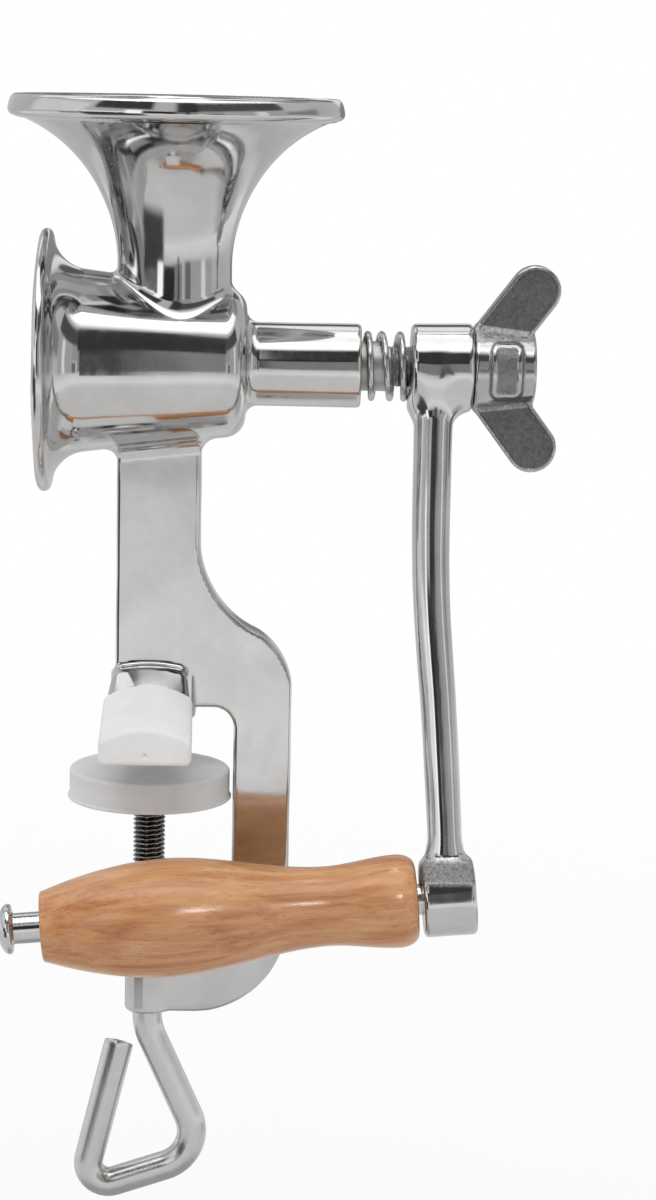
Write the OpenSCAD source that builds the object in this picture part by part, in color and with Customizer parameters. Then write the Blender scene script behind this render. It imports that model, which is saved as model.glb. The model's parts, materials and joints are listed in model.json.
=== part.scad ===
// Clamp-on hand mill: a polished cast body with a trumpet hopper, conical burrs on a cranked
// spindle, a spring-loaded crank with a wing nut and wooden grip, and a screw clamp for a table edge.
// Millimetres. X runs along the spindle, Y from front to back, Z up.
// Origin: on the clamp screw's axis, in the plane of the jaw boots' soles.

/* [Hopper] */
// Overall diameter over the rolled lip
hopper_d = 70; // [60:0.5:84]
// Height of the lip's top above the boots' soles
hopper_top = 135; // [128:0.5:142]
// Thickness of the rolled lip
lip_t = 4.1; // [3:0.1:5]
// Outer radius of the neck
neck_r = 12; // [11:0.1:13]
// Radius of the trumpet flare, measured on its outside
flare_r = 33; // [31:0.25:35]
// Wall thickness of hopper and neck
hopper_wall = 2.4; // [1.8:0.1:3]
// Distance from the clamp screw's axis to the hopper's axis
hopper_x = 4; // [2:0.25:6]

/* [Barrel] */
// Height of the spindle's axis above the boots' soles
axis_z = 80; // [78:0.5:84]
// Radius of the burr flange
flange_r = 27.6; // [26:0.1:30]
// Thickness of the burr flange's rounded edge
flange_t = 2.4; // [2.2:0.1:3]
// Where the flange's front face lies along X
flange_x = -24; // [-26:0.25:-23.5]
// Radius of the concave flare behind the flange
flange_flare = 7; // [6:0.1:7.5]
// Barrel radius at its front
barrel_front_r = 19.15; // [18.5:0.05:21]
// Barrel radius at its rear
barrel_rear_r = 15.7; // [15.2:0.05:17]
// Where the barrel's rear shoulder ends along X
barrel_end = 19.3; // [18.8:0.1:21]
// Rounding of the rear shoulder
shoulder_r = 4; // [2:0.1:5]
// Radius of the rear bearing boss
boss_r = 8.8; // [8.4:0.05:10]
// Where the bearing boss ends along X
boss_end = 43.4; // [42.4:0.1:43.9]
// Root fillet of the bearing boss
boss_fillet = 2.5; // [1:0.1:4]
// Radius of the feed chamber inside the barrel
chamber_r = 12.6; // [12.3:0.05:13]

/* [Column and clamp frame] */
// Thickness of the column and the clamp frame
plate_t = 7; // [6:0.1:9]
// Left edge of the column
column_left = -7.5; // [-8.2:0.1:-6]
// Right edge of the column
column_right = 10.2; // [9:0.1:12]
// Outer edge of the clamp frame
frame_out = 30.2; // [28:0.1:34]
// Inner edge of the clamp frame
frame_in = 17.9; // [17.6:0.05:18.6]
// Height where the frame's sloping shoulder meets its outer edge
shoulder_z = 19.15; // [17:0.1:21]
// Slope of that shoulder, in degrees
shoulder_slope = 26.6; // [20:0.1:32]
// Inside bend between column and shoulder
bend_in = 20; // [14:0.5:24]
// Outside bend between shoulder and outer edge
bend_out = 8; // [5:0.25:10]
// Height of the throat's top edge
throat_top = 6.5; // [5:0.1:9]
// Fillets in the corners of the throat
throat_r = 4.3; // [3:0.1:6]
// Top of the lower arm
arm_top = -50; // [-52:0.25:-49]
// Bottom of the lower arm and of the screw boss
arm_bottom = -61.5; // [-61.8:0.1:-59]
// Rounding of the frame's lower outer corner
corner_r = 21; // [16:0.25:22]
// Radius of the boss that carries the clamp screw
screw_boss_r = 4.9; // [4.7:0.05:6]

/* [Jaw toes and boots] */
// Reach of each boot's nose from the mid-plane
boot_reach = 31.5; // [29:0.25:36]
// Where each boot's mouth lies, from the mid-plane
boot_mouth = 15; // [13:0.25:18]
// Half width of a boot at its nose
boot_nose_w = 9.6; // [9.2:0.05:11]
// Half width of a boot at its mouth
boot_mouth_w = 9.3; // [9.1:0.05:10.5]
// Height of a boot at its nose
boot_nose_h = 7.6; // [7:0.05:9]
// Height of a boot at its mouth
boot_mouth_h = 13.8; // [12.8:0.05:14.5]
// Height that a boot's arched top falls from its middle to its sides
boot_arch = 2.8; // [2:0.1:3.2]
// Rounding of the boots' lower long edges
boot_edge = 1.4; // [1:0.1:2.4]
// Thickness of the boots' soles and walls
boot_wall = 1.6; // [1.2:0.05:2]
// Half width of the toes at their boots' mouths
toe_w = 8.9; // [8.4:0.05:9.1]
// Half width of the toes where they leave the column
toe_root_w = 7.6; // [7:0.05:8.6]
// Height of the toes where they leave the column
toe_root_h = 15.8; // [15:0.1:17.5]
// Height that a toe's top falls to its sides where it leaves the column
toe_root_arch = 0.8; // [0.4:0.1:2]

/* [Burrs, auger and bearing] */
// Outer radius of the fixed burr's face ring
burr_face_r = 22.5; // [21:0.1:23.5]
// Radius of the fixed burr's sleeve
burr_sleeve_r = 17; // [16.4:0.05:17.2]
// Front radius of the grinding cone
cone_front_r = 16.4; // [15.5:0.05:16.6]
// Rear radius of the grinding cone
cone_rear_r = 10.4; // [9.8:0.05:11]
// Where the burrs end along X
burr_end = -13; // [-13.4:0.05:-12.9]
// Gap between the two burrs, square to the axis
burr_gap = 0.45; // [0.35:0.05:0.7]
// Grooves in the fixed burr
fixed_grooves = 18; // [12:1:24]
// Grooves in the rotor burr
rotor_grooves = 12; // [8:1:16]
// Width of the burrs' grooves
groove_w = 1.5; // [1:0.1:1.8]
// Lead angle of the burrs' grooves, in degrees
groove_skew = 14; // [8:0.5:18]
// Radius of the auger's core
auger_core_r = 7; // [6.8:0.05:8]
// Radius of the auger's flight
auger_r = 11.8; // [11:0.05:12]
// Turns of the auger's flight
auger_turns = 2; // [1.5:0.25:2.5]
// Outer radius of the bearing bush
bush_r = 7; // [6.8:0.05:7.2]

/* [Spindle and spring] */
// Radius of the spindle's journal
journal_r = 5.25; // [5.1:0.01:5.4]
// Radius over the M10 thread
thread_r = 4.9; // [4.8:0.01:5]
// Half the width across the flats that drive the crank
flat_half = 4; // [3.7:0.05:4.3]
// Where the spindle ends along X
spindle_end = 78.6; // [78:0.1:79.6]
// Running clearance on every turning or sliding fit
run_gap = 0.06; // [0.04:0.01:0.09]
// Wire diameter of the spring
wire_d = 1.4; // [1.2:0.05:1.5]
// Outer diameter of the spring
spring_d = 14.8; // [14.3:0.1:16]
// Turns of the spring, with both closed ends
spring_turns = 3; // [3:0.25:3.25]

/* [Crank and wing nut] */
// Where the crank's hub starts along X
hub_x = 54; // [53.8:0.1:55]
// Length of the crank's hub
hub_len = 13; // [12:0.1:14]
// Radius of the crank's hub
hub_r = 9.2; // [8.8:0.05:10.5]
// Crank radius, from the spindle's axis to the pin
crank_r = 111.3; // [108:0.1:116]
// Lean of the crank towards the front at rest, in degrees
crank_lean = 17.3; // [16.5:0.1:20]
// Tilt of the grip's pin against the spindle, in degrees
pin_tilt = 5; // [3:0.1:6]
// Arm width at the hub, seen from the front
arm_w_top = 8.2; // [7.4:0.05:9.4]
// Arm width at the pin's hub
arm_w_low = 6.7; // [6:0.05:7.6]
// Arm thickness at the hub
arm_t_top = 11; // [9:0.1:13]
// Arm thickness at the pin's hub
arm_t_low = 9; // [8:0.1:11]
// Radius of the pin's hub
eye_r = 7.9; // [7:0.05:9]
// Length of the pin's hub
eye_len = 10.8; // [9:0.1:12]
// Where the pin's hub is centred along X
eye_x = 63; // [62:0.1:65]
// Length of the wing nut's barrel
nut_len = 13; // [12:0.1:15]
// Barrel radius of the wing nut at the crank
nut_r_near = 8.5; // [7.8:0.05:9]
// Barrel radius of the wing nut at its outer end
nut_r_far = 7; // [6.4:0.05:7.6]
// Radius of the wings' rounded tips
wing_tip_r = 5.3; // [4.6:0.1:6]
// Distance from the spindle's axis to the tips' centres
wing_reach = 16.5; // [15:0.1:18]
// Thickness of the wings
wing_t = 4; // [3:0.1:5]
// Depth of the panels sunk into the wings
panel_depth = 0.7; // [0.3:0.05:1]

/* [Grip] */
// Length of the wooden grip
grip_len = 77.3; // [72:0.1:80]
// Radius of the grip's belly
grip_belly_r = 12.3; // [11.5:0.05:13]
// Radius of the grip's waist
grip_waist_r = 8.3; // [7.5:0.05:9]
// Radius of the grip's flared end
grip_flare_r = 9.85; // [9:0.05:10.5]
// Radius of the grip's free end
grip_end_r = 7.3; // [6.5:0.05:8]
// Space between grip and crank
grip_gap = 1.2; // [0.8:0.05:2]
// Radius of the grip's pin
pin_r = 3.2; // [2.8:0.05:3.4]
// Length of pin that shows past the grip's free end
pin_show = 6; // [3:0.1:8]
// Radius of the pin's domed head
pin_head_r = 5.2; // [4.6:0.05:6]
// Height of the pin's domed head
pin_head_t = 3; // [2:0.1:4]

/* [Clamp screw and pad] */
// Radius over the clamp screw's thread
screw_r = 3.45; // [3.3:0.01:3.6]
// Radius of the plain rod that is bent into the loop
rod_r = 3.2; // [3:0.05:3.3]
// Loop handle: where its right corner lies along X
loop_right_x = 13.2; // [11:0.1:15]
// Loop handle: height of its right corner
loop_right_z = -94.4; // [-97:0.1:-92]
// Loop handle: where its lower left corner lies along X
loop_left_x = -14; // [-16:0.1:-12]
// Loop handle: height of its lower left corner
loop_left_z = -103.7; // [-106:0.1:-102]
// Loop handle: where its free end lies along X
loop_tip_x = -5.6; // [-7:0.1:-5]
// Loop handle: height of its free end
loop_tip_z = -69; // [-72:0.1:-68]
// Radius of the silicone pad
pad_r = 17.2; // [16.5:0.05:17.3]
// Height of the pad's top face
pad_top = -7.4; // [-8:0.05:-7]
// Thickness of the pad
pad_t = 6.4; // [6:0.05:6.8]
// Radius of the steel plate inside the pad
plate_r = 14.4; // [13:0.05:14.8]
// Thickness of that plate
swivel_t = 2; // [1.6:0.05:2.2]

/* [Hidden] */
$fn = 64;

// Colours of the sub-parts
steel = [0.80, 0.80, 0.81];
dark_steel = [0.42, 0.42, 0.43];
bronze = [0.72, 0.54, 0.33];
cast_grey = [0.48, 0.48, 0.49];
beech = [0.76, 0.46, 0.20];
silicone = [0.93, 0.93, 0.93];
frosted = [0.82, 0.83, 0.84];

// A small overlap that makes cuts run clean through
cut = 1;
// Contact gap between pieces that touch across a joint
touch = 0.12;
// Facets in each rounded corner of a cast outline
corner_steps = 10;
// Depth that a cast root reaches into the wall it grows from
root_depth = 1.9;
// Fillet between a toe and the throat's top edge
toe_fillet = 1.5;
// Small edge rounding of the toes
toe_edge = 0.5;
// Extra room at the blind end of a boot's pocket
pocket_room = 0.4;
// Rounding of the boots' noses
nose_round = 1.2;
// How much flatter the toes' crowns are than the boots', at the nose and at the mouth
crown_nose = 0.6;
crown_mouth = 0.4;
// How far a toe's collar stays below its boot's top
collar_step = 0.5;
// Wall left at the rear of the feed chamber, less the shoulder's rounding
chamber_step = 0.3;
// How far the burrs sit behind the flange's face, each behind the one before
burr_inset = 0.2;
// Facets in a boot's lower edges and across its arched top
edge_steps = 4;
crown_steps = 12;

// Hopper: the flare's height up to the lip, and the neck's height under it
lip_r = lip_t / 2;
lip_inset = neck_r + flare_r - hopper_d / 2 + lip_r;
flare_h = sqrt(flare_r * flare_r - lip_inset * lip_inset);
flare_start = hopper_top - lip_t - flare_h;
neck_h = flare_start - axis_z;
bore_r = neck_r - hopper_wall;

// Barrel: where the flare behind the flange ends, and the pocket floors
flange_back = flange_x + flange_t;
flare_end = flange_back + flange_flare;
chamber_end = barrel_end - shoulder_r - chamber_step;
face_back = flange_back;
face_front = flange_x + burr_inset;

// Spindle stations along X
rotor_front = face_front + burr_inset;
recess_depth = 4;
recess_floor = rotor_front + recess_depth;
spindle_front = recess_floor + burr_inset;
seat_r = 4;
seat_end = burr_end + burr_inset;
// Travel of the crank along its flats, inwards and outwards, for setting the burrs
adjust_in = 4;
adjust_out = 3;
flats_start = hub_x - adjust_in - cut;
flats_end = hub_x + hub_len + adjust_out + cut;
washer_t = 1.2;
washer_rim = 2;
auger_start = seat_end + touch;
auger_end = chamber_end - washer_t - touch;
// Root and tip width of the auger's flight
flight_root = 4.2;
flight_tip = 2.2;
bolt_r = 2.5;
bolt_clear = 0.2;
bolt_head_r = 4.2;
bolt_head_t = 2.6;
bolt_len = 11;
bolt_washer_r = 6;
bolt_washer_t = 1;
recess_r = 6.6;
socket_af = 4;
socket_depth = 1.5;
// Extra gap between the burrs at their front, where the beans are cracked
crack_gap = 0.1;
fixed_groove_depth = 1;
rotor_groove_depth = 1.1;

// Spring: path of the wire's centre along X
spring_r = (spring_d - wire_d) / 2;
spring_from = boss_end + touch + wire_d / 2;
spring_to = hub_x - touch - wire_d / 2;
rings_per_turn = 8;
wire_sides = 6;
end_turn = 0.75;
end_pitch = 1.95;

// Crank arm: how far its middle stays behind the hub's middle, and how far it bows back below the hub
hub_mid = hub_x + hub_len / 2;
arm_back = 1.3;
arm_bow = 0.6;
// Shares of the arm's length: the bow, the start of the lead to the pin's hub, and the flare above that hub
bow_share = 0.625;
lead_share = 0.35;
flare_share = 0.89;
arm_from = 0.045;
arm_to = 0.965;
// How square the arm's rounded section is: 1 is an ellipse, less is squarer
arm_square = 0.6;
arm_sides = 16;
arm_steps = 24;

// Wing nut stations along X, and the outline of its wings
nut_x = hub_x + hub_len + touch;
nut_end = nut_x + nut_len;
tip_back = 0.3;
foot_in = 0.9;
wing_root = 0.5;
heel_share = 0.9;
heel_drop = 2.2;
panel_inset = 1.5;
panel_foot = 0.8;

// Grip: shares of its length where lip, waist, belly and end lie, and how far its ends round over
lip_at = 0.05;
waist_at = 0.24;
belly_at = 0.68;
end_at = 0.98;
lip_drop = 2.3;
end_swell = 0.4;
end_drop = 0.6;
grip_steps = 40;

// Pin and grip, along the pin's own axis from the middle of its hub
grip_near = eye_len / 2 + grip_gap;
grip_far = grip_near + grip_len;
pin_head_at = grip_far + pin_show;

// Clamp screw: the bent loop, as corners of its centre line in X and Z with their bend radii
bend_first = 13;
bend_right = 8.5;
bend_left = 3.5;
bend_drop = 3.9;
bend_steps = 9;
rod_sides = 16;
// Height above the lower arm's underside where the rod starts inside the thread, and where the thread ends
rod_start = 2;
thread_stop = 0.5;
loop = [
  [0, arm_bottom + rod_start, 0],
  [0, arm_bottom - bend_drop, bend_first],
  [loop_right_x, loop_right_z, bend_right],
  [loop_left_x, loop_left_z, bend_left],
  [loop_tip_x, loop_tip_z, 0]
];
clip_r = 4;
clip_t = 1.1;
screw_neck_r = 2.5;
// Room round the clip, width of the pad's lip under the plate, and silicone above the plate
clip_room = 0.6;
pad_lip = 3;
pad_edge = 0.7;
pad_crown = 3.4;
swivel_top = pad_top - pad_crown;
swivel_low = swivel_top - swivel_t;

// Points of an arc, by centre, radius and angles
function arc(c, r, a0, a1, n) = [
  for (i = [0 : n])
    let (a = a0 + (a1 - a0) * i / n)
      c + r * [cos(a), sin(a)]
];

function unit(v) = v / norm(v);

function mix(a, b, t) = a + (b - a) * t;

// A smooth step from 0 to 1
function ease(t) = t * t * (3 - 2 * t);

// Points of a rounded corner at b, between a and c
function corner(a, b, c, r, n) =
  let (u = unit(a - b), w = unit(c - b))
  let (half = acos(u * w) / 2)
  let (mid = b + unit(u + w) * r / sin(half))
  let (p = b + u * r / tan(half), q = b + w * r / tan(half))
  let (a0 = atan2(p[1] - mid[1], p[0] - mid[0]), a1 = atan2(q[1] - mid[1], q[0] - mid[0]))
  let (turn = a1 - a0)
  let (short_turn = turn > 180 ? turn - 360 : turn < -180 ? turn + 360 : turn)
  arc(mid, r, a0, a0 + short_turn, n);

function flat(path, i) = [path[i][0], path[i][1]];

// A closed outline from corners of [x, y, radius]
function rounded(pts, n) = [
  for (i = [0 : len(pts) - 1])
    let (k = len(pts), a = flat(pts, (i + k - 1) % k), b = flat(pts, i), c = flat(pts, (i + 1) % k))
      each pts[i][2] == 0 ? [b] : corner(a, b, c, pts[i][2], n)
];

// A closed skin over rings of equal length, with flat ends
module skin(rings) {
  n = len(rings[0]);
  m = len(rings);
  points = [for (ring = rings) each ring];
  sides = [
    for (j = [0 : m - 2]) for (i = [0 : n - 1])
      let (a = j * n + i, b = j * n + (i + 1) % n)
        each [[a, b, b + n], [a, b + n, a + n]]
  ];
  first = [for (i = [0 : n - 1]) n - 1 - i];
  last = [for (i = [0 : n - 1]) (m - 1) * n + i];
  polyhedron(points = points, faces = concat([first], sides, [last]), convexity = 8);
}

// Turns a profile of [radius, distance along X] about the spindle's axis
module along_x() {
  translate([0, 0, axis_z])
    rotate([0, 90, 0])
      children();
}

module tube_x(x0, x1, r_out, r_in) {
  along_x()
    translate([0, 0, x0])
      difference() {
        cylinder(h = x1 - x0, r = r_out);
        translate([0, 0, -cut])
          cylinder(h = x1 - x0 + 2 * cut, r = r_in);
      }
}

module rod_x(x0, x1, r0, r1) {
  along_x()
    translate([0, 0, x0])
      cylinder(h = x1 - x0, r1 = r0, r2 = r1);
}

// The hopper's wall above the neck: a ring between two arcs, closed by the rolled lip
module hopper_wall_profile() {
  intersection() {
    translate([neck_r + flare_r, 0])
      difference() {
        circle(r = flare_r + hopper_wall, $fn = 160);
        circle(r = flare_r, $fn = 160);
      }
    square([hopper_d / 2 - lip_r, flare_r + hopper_wall]);
  }
  translate([hopper_d / 2 - lip_r, flare_h + lip_r])
    circle(r = lip_r, $fn = 32);
}

// The barrel's outside: bullnosed flange, concave flare, taper, rounded shoulder and rear boss
module barrel_profile() {
  translate([0, flange_x])
    square([flange_r - flange_t / 2, flange_t]);
  translate([flange_r - flange_t / 2, flange_x + flange_t / 2])
    circle(d = flange_t, $fn = 32);
  difference() {
    translate([0, flange_back])
      square([barrel_front_r + flange_flare, flange_flare]);
    translate([barrel_front_r + flange_flare, flare_end])
      circle(r = flange_flare, $fn = 64);
  }
  polygon([
    [0, flare_end], [barrel_front_r, flare_end],
    [barrel_rear_r, barrel_end - shoulder_r], [0, barrel_end - shoulder_r]
  ]);
  translate([0, barrel_end - shoulder_r])
    square([barrel_rear_r - shoulder_r, shoulder_r]);
  intersection() {
    translate([barrel_rear_r - shoulder_r, barrel_end - shoulder_r])
      circle(r = shoulder_r, $fn = 48);
    translate([0, barrel_end - shoulder_r])
      square([barrel_rear_r, shoulder_r]);
  }
  translate([0, barrel_end])
    square([boss_r, boss_end - barrel_end]);
  difference() {
    translate([0, barrel_end])
      square([boss_r + boss_fillet, boss_fillet]);
    translate([boss_r + boss_fillet, barrel_end + boss_fillet])
      circle(r = boss_fillet, $fn = 32);
  }
}

// The column and the open clamp frame, seen from the front
module frame_profile() {
  run = frame_out - column_right;
  polygon(rounded([
    [column_left, axis_z - chamber_r - root_depth, 0],
    [column_left, boot_wall, 0],
    [toe_w, boot_wall, 0],
    [toe_w, throat_top, toe_fillet],
    [frame_in, throat_top, throat_r],
    [frame_in, arm_top, throat_r],
    [0, arm_top, 0],
    [0, arm_bottom, 0],
    [frame_out, arm_bottom, corner_r],
    [frame_out, shoulder_z, bend_out],
    [column_right, shoulder_z + run * tan(shoulder_slope), bend_in],
    [column_right, axis_z - chamber_r - root_depth, 0]
  ], corner_steps));
}

// An arched section with a flat sole and rounded lower edges, at one station along Y
function loaf(y, w, z0, h, drop, edge) =
  let (top = z0 + h, side = top - drop)
  let (low = concat(
    arc([-w + edge, z0 + edge], edge, 180, 270, edge_steps),
    arc([w - edge, z0 + edge], edge, 270, 360, edge_steps)))
  let (crown = [
    for (i = [0 : crown_steps])
      let (x = w * cos(180 * i / crown_steps))
        [x, side + drop * (1 - pow(x / w, 2))]
  ])
  [for (p = concat(low, crown)) [p[0], y, p[1]]];

// The tongue of a toe, which fills the pocket of its boot
module tongue(extra) {
  nose_y = -boot_reach + boot_wall + pocket_room;
  nose_w = boot_nose_w - boot_wall;
  nose_h = boot_nose_h - 2 * boot_wall;
  mouth_w = boot_mouth_w - boot_wall;
  mouth_h = boot_mouth_h - 2 * boot_wall;
  skin([
    loaf(nose_y, nose_w, boot_wall, nose_h, boot_arch - crown_nose, toe_edge),
    loaf(-boot_mouth + extra, mouth_w, boot_wall, mouth_h, boot_arch - crown_mouth, toe_edge)
  ]);
}

// A toe: the cast finger that each boot is pulled over, with a collar behind the boot
module toe() {
  collar_h = boot_mouth_h - boot_wall - collar_step;
  root_h = toe_root_h - boot_wall;
  tongue(cut);
  skin([
    loaf(-boot_mouth + touch, toe_w, boot_wall, collar_h, boot_arch, toe_edge),
    loaf(-plate_t / 2, toe_root_w, boot_wall, root_h, toe_root_arch, toe_edge),
    loaf(0, toe_root_w, boot_wall, root_h, toe_root_arch, toe_edge)
  ]);
}

module body_casting() {
  color(steel)
    difference() {
      union() {
        translate([hopper_x, 0, flare_start]) {
          rotate_extrude()
            hopper_wall_profile();
          translate([0, 0, -neck_h])
            cylinder(h = neck_h, r = neck_r);
        }
        along_x()
          rotate_extrude()
            barrel_profile();
        translate([0, plate_t / 2, 0])
          rotate([90, 0, 0])
            linear_extrude(height = plate_t)
              frame_profile();
        translate([0, 0, arm_bottom])
          cylinder(h = arm_top - arm_bottom, r = screw_boss_r);
        toe();
        mirror([0, 1, 0])
          toe();
      }
      translate([hopper_x, 0, flare_start - neck_h])
        cylinder(h = neck_h + touch, r = bore_r);
      rod_x(flange_x - cut, face_back, burr_face_r, burr_face_r);
      rod_x(flange_x, burr_end, burr_sleeve_r, burr_sleeve_r);
      rod_x(flange_x, chamber_end, chamber_r, chamber_r);
      rod_x(barrel_end - shoulder_r - cut, boss_end + cut, bush_r, bush_r);
      translate([0, 0, arm_bottom - cut])
        cylinder(h = arm_top - arm_bottom + 2 * cut, r = screw_r + run_gap);
    }
}

// One skewed groove, cut along a burr's cone
module burr_groove(turn, lean, depth) {
  slope = atan2(cone_front_r - cone_rear_r, burr_end - face_front);
  mid_r = (cone_front_r + cone_rear_r) / 2;
  length = 3 * (burr_end - face_front);
  translate([(burr_end + face_front) / 2, 0, axis_z])
    rotate([turn, 0, 0])
      translate([0, 0, mid_r])
        rotate([0, slope, 0])
          rotate([0, 0, lean])
            cube([length, groove_w, 2 * depth], center = true);
}

module fixed_burr() {
  color(dark_steel)
    difference() {
      union() {
        rod_x(face_front, face_back, burr_face_r, burr_face_r);
        rod_x(face_back, burr_end, burr_sleeve_r, burr_sleeve_r);
      }
      along_x()
        translate([0, 0, face_front])
          cylinder(h = burr_end - face_front, r1 = cone_front_r, r2 = cone_rear_r);
      rod_x(face_front - cut, face_front, cone_front_r, cone_front_r);
      rod_x(burr_end, burr_end + cut, cone_rear_r, cone_rear_r);
      for (i = [0 : fixed_grooves - 1])
        burr_groove(360 * i / fixed_grooves, -groove_skew, fixed_groove_depth);
    }
}

module rear_bush() {
  color(bronze)
    tube_x(chamber_end, boss_end, bush_r, journal_r + run_gap);
}

module thrust_washer() {
  color(bronze)
    tube_x(chamber_end - washer_t, chamber_end, auger_core_r + washer_rim, journal_r + run_gap + touch);
}

// A boot: an arched silicone cap with a blind pocket that fits the toe
module boot() {
  nose_in = nose_round / 2;
  difference() {
    skin([
      loaf(-boot_reach, boot_nose_w - nose_in, 0, boot_nose_h - nose_in, boot_arch, boot_edge),
      loaf(-boot_reach + nose_round, boot_nose_w, 0, boot_nose_h, boot_arch, boot_edge),
      loaf(-boot_mouth, boot_mouth_w, 0, boot_mouth_h, boot_arch, boot_edge)
    ]);
    tongue(0);
  }
}

module front_boot() {
  color(silicone)
    boot();
}

module rear_boot() {
  color(silicone)
    mirror([0, 1, 0])
      boot();
}

module spindle() {
  color(dark_steel)
    difference() {
      union() {
        rod_x(spindle_front, seat_end, seat_r, seat_r);
        rod_x(seat_end, flats_start, journal_r, journal_r);
        rod_x(flats_start, spindle_end - cut, thread_r, thread_r);
        rod_x(spindle_end - cut, spindle_end, thread_r, thread_r - cut);
      }
      for (side = [-1, 1])
        translate([(flats_start + flats_end) / 2, 0, axis_z + side * (flat_half + thread_r)])
          cube([flats_end - flats_start, 3 * thread_r, 2 * thread_r], center = true);
      rod_x(spindle_front - cut, spindle_front + bolt_len, bolt_r, bolt_r);
    }
}

// A section of the auger's flight after a number of turns
function flight_ring(t, length) =
  let (root = flight_root / 2, tip = flight_tip / 2, foot = auger_core_r - cut)
  let (mid = auger_start + root + (length - flight_root) * t / auger_turns)
  let (out = [0, cos(360 * t), sin(360 * t)])
  [
    for (p = [[-root, foot], [-tip, auger_r], [tip, auger_r], [root, foot]])
      [mid + p[0], 0, axis_z] + out * p[1]
  ];

// The auger: a core with one flight that winds round it
module feed_auger() {
  steps = 16 * auger_turns;
  length = auger_end - auger_start;
  color(dark_steel)
    difference() {
      union() {
        rod_x(auger_start, auger_end, auger_core_r, auger_core_r);
        skin([for (i = [0 : steps]) flight_ring(auger_turns * i / steps, length)]);
      }
      rod_x(auger_start - cut, auger_end + cut, journal_r, journal_r);
    }
}

module rotor_burr() {
  front_r = cone_front_r - burr_gap - crack_gap;
  color(dark_steel)
    difference() {
      along_x()
        translate([0, 0, rotor_front])
          cylinder(h = burr_end - rotor_front, r1 = front_r, r2 = cone_rear_r - burr_gap);
      for (i = [0 : rotor_grooves - 1])
        burr_groove(360 * (i + 0.5) / rotor_grooves, groove_skew, rotor_groove_depth + burr_gap);
      rod_x(rotor_front - cut, recess_floor, recess_r, recess_r);
      rod_x(recess_floor - cut, burr_end + cut, seat_r, seat_r);
    }
}

module burr_washer() {
  color(steel)
    tube_x(recess_floor - bolt_washer_t, recess_floor, bolt_washer_r, bolt_r + bolt_clear);
}

module burr_screw() {
  head_x = recess_floor - bolt_washer_t - bolt_head_t;
  color(steel)
    difference() {
      union() {
        rod_x(head_x, head_x + bolt_head_t, bolt_head_r, bolt_head_r);
        rod_x(head_x + bolt_head_t - touch, spindle_front + bolt_len - cut, bolt_r, bolt_r);
      }
      along_x()
        translate([0, 0, head_x - cut])
          cylinder(h = socket_depth + cut, d = socket_af / cos(30), $fn = 6);
    }
}

// Distance of the spring's wire along X after a number of turns, with closed ends
function spring_x(t) =
  let (free = spring_to - spring_from - 2 * end_turn * end_pitch, mid = spring_turns - 2 * end_turn)
  t < end_turn ? spring_from + t * end_pitch
  : t > spring_turns - end_turn ? spring_to - (spring_turns - t) * end_pitch
  : spring_from + end_turn * end_pitch + free * (t - end_turn) / mid;

function spring_point(t) = [spring_x(t), spring_r * cos(360 * t), axis_z + spring_r * sin(360 * t)];

// Least distance between wire surfaces on neighbouring turns, measured on points of the centre line
spring_steps = rings_per_turn * spring_turns;
spring_gap = min([
  for (i = [0 : spring_steps]) for (j = [i + rings_per_turn / 2 : 1 : spring_steps])
    norm(spring_point(j / rings_per_turn) - spring_point(i / rings_per_turn))
]) - wire_d;

module crank_spring() {
  echo(spring_gap_to_itself = spring_gap);
  color(steel)
    skin([
      for (i = [-1 : spring_steps + 1])
        let (t = min(max(i, 0), spring_steps) / rings_per_turn)
        let (run = i < 0 ? -wire_d : i > spring_steps ? wire_d : 0)
        let (outward = [0, cos(360 * t), sin(360 * t)], side = [0, -sin(360 * t), cos(360 * t)])
          [
            for (k = [0 : wire_sides - 1])
              spring_point(t) + side * run
              + wire_d / 2 * (outward * cos(360 * k / wire_sides) + [1, 0, 0] * sin(360 * k / wire_sides))
          ]
    ]);
}

// Puts the crank's own frame, where the arm hangs straight down, into its pose at rest
module crank_pose() {
  translate([0, 0, axis_z])
    rotate([-crank_lean, 0, 0])
      children();
}

// Puts the pin's frame, +Z from its hub towards the grip's free end, into the crank's frame
module pin_pose() {
  translate([eye_x, 0, -crank_r])
    rotate([0, -90 - pin_tilt, 0])
      children();
}

// Middle of the arm at a share of its length: it bows back below the hub, then leads over to the pin's hub
function arm_x(t) =
  let (bow = arm_bow * sin(180 * min(t / bow_share, 1)))
  let (lead = ease(max(0, t - lead_share) / (1 - lead_share)))
  hub_mid - arm_back - bow + (eye_x - hub_mid + arm_bow) * lead;

// The arm's section at that share, which flares out to the pin's hub
function arm_ring(t) =
  let (flare = ease(max(0, t - flare_share) / (arm_to - flare_share)))
  let (w = mix(mix(arm_w_top, arm_w_low, t), eye_len - arm_bow, flare) / 2)
  let (h = mix(arm_t_top, arm_t_low, t) / 2)
  [
    for (k = [0 : arm_sides - 1])
      let (a = 360 * (k + 0.5) / arm_sides)
      let (c = sign(cos(a)) * pow(abs(cos(a)), arm_square))
      let (s = sign(sin(a)) * pow(abs(sin(a)), arm_square))
        [arm_x(t) + w * c, h * s, -crank_r * t]
  ];

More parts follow.
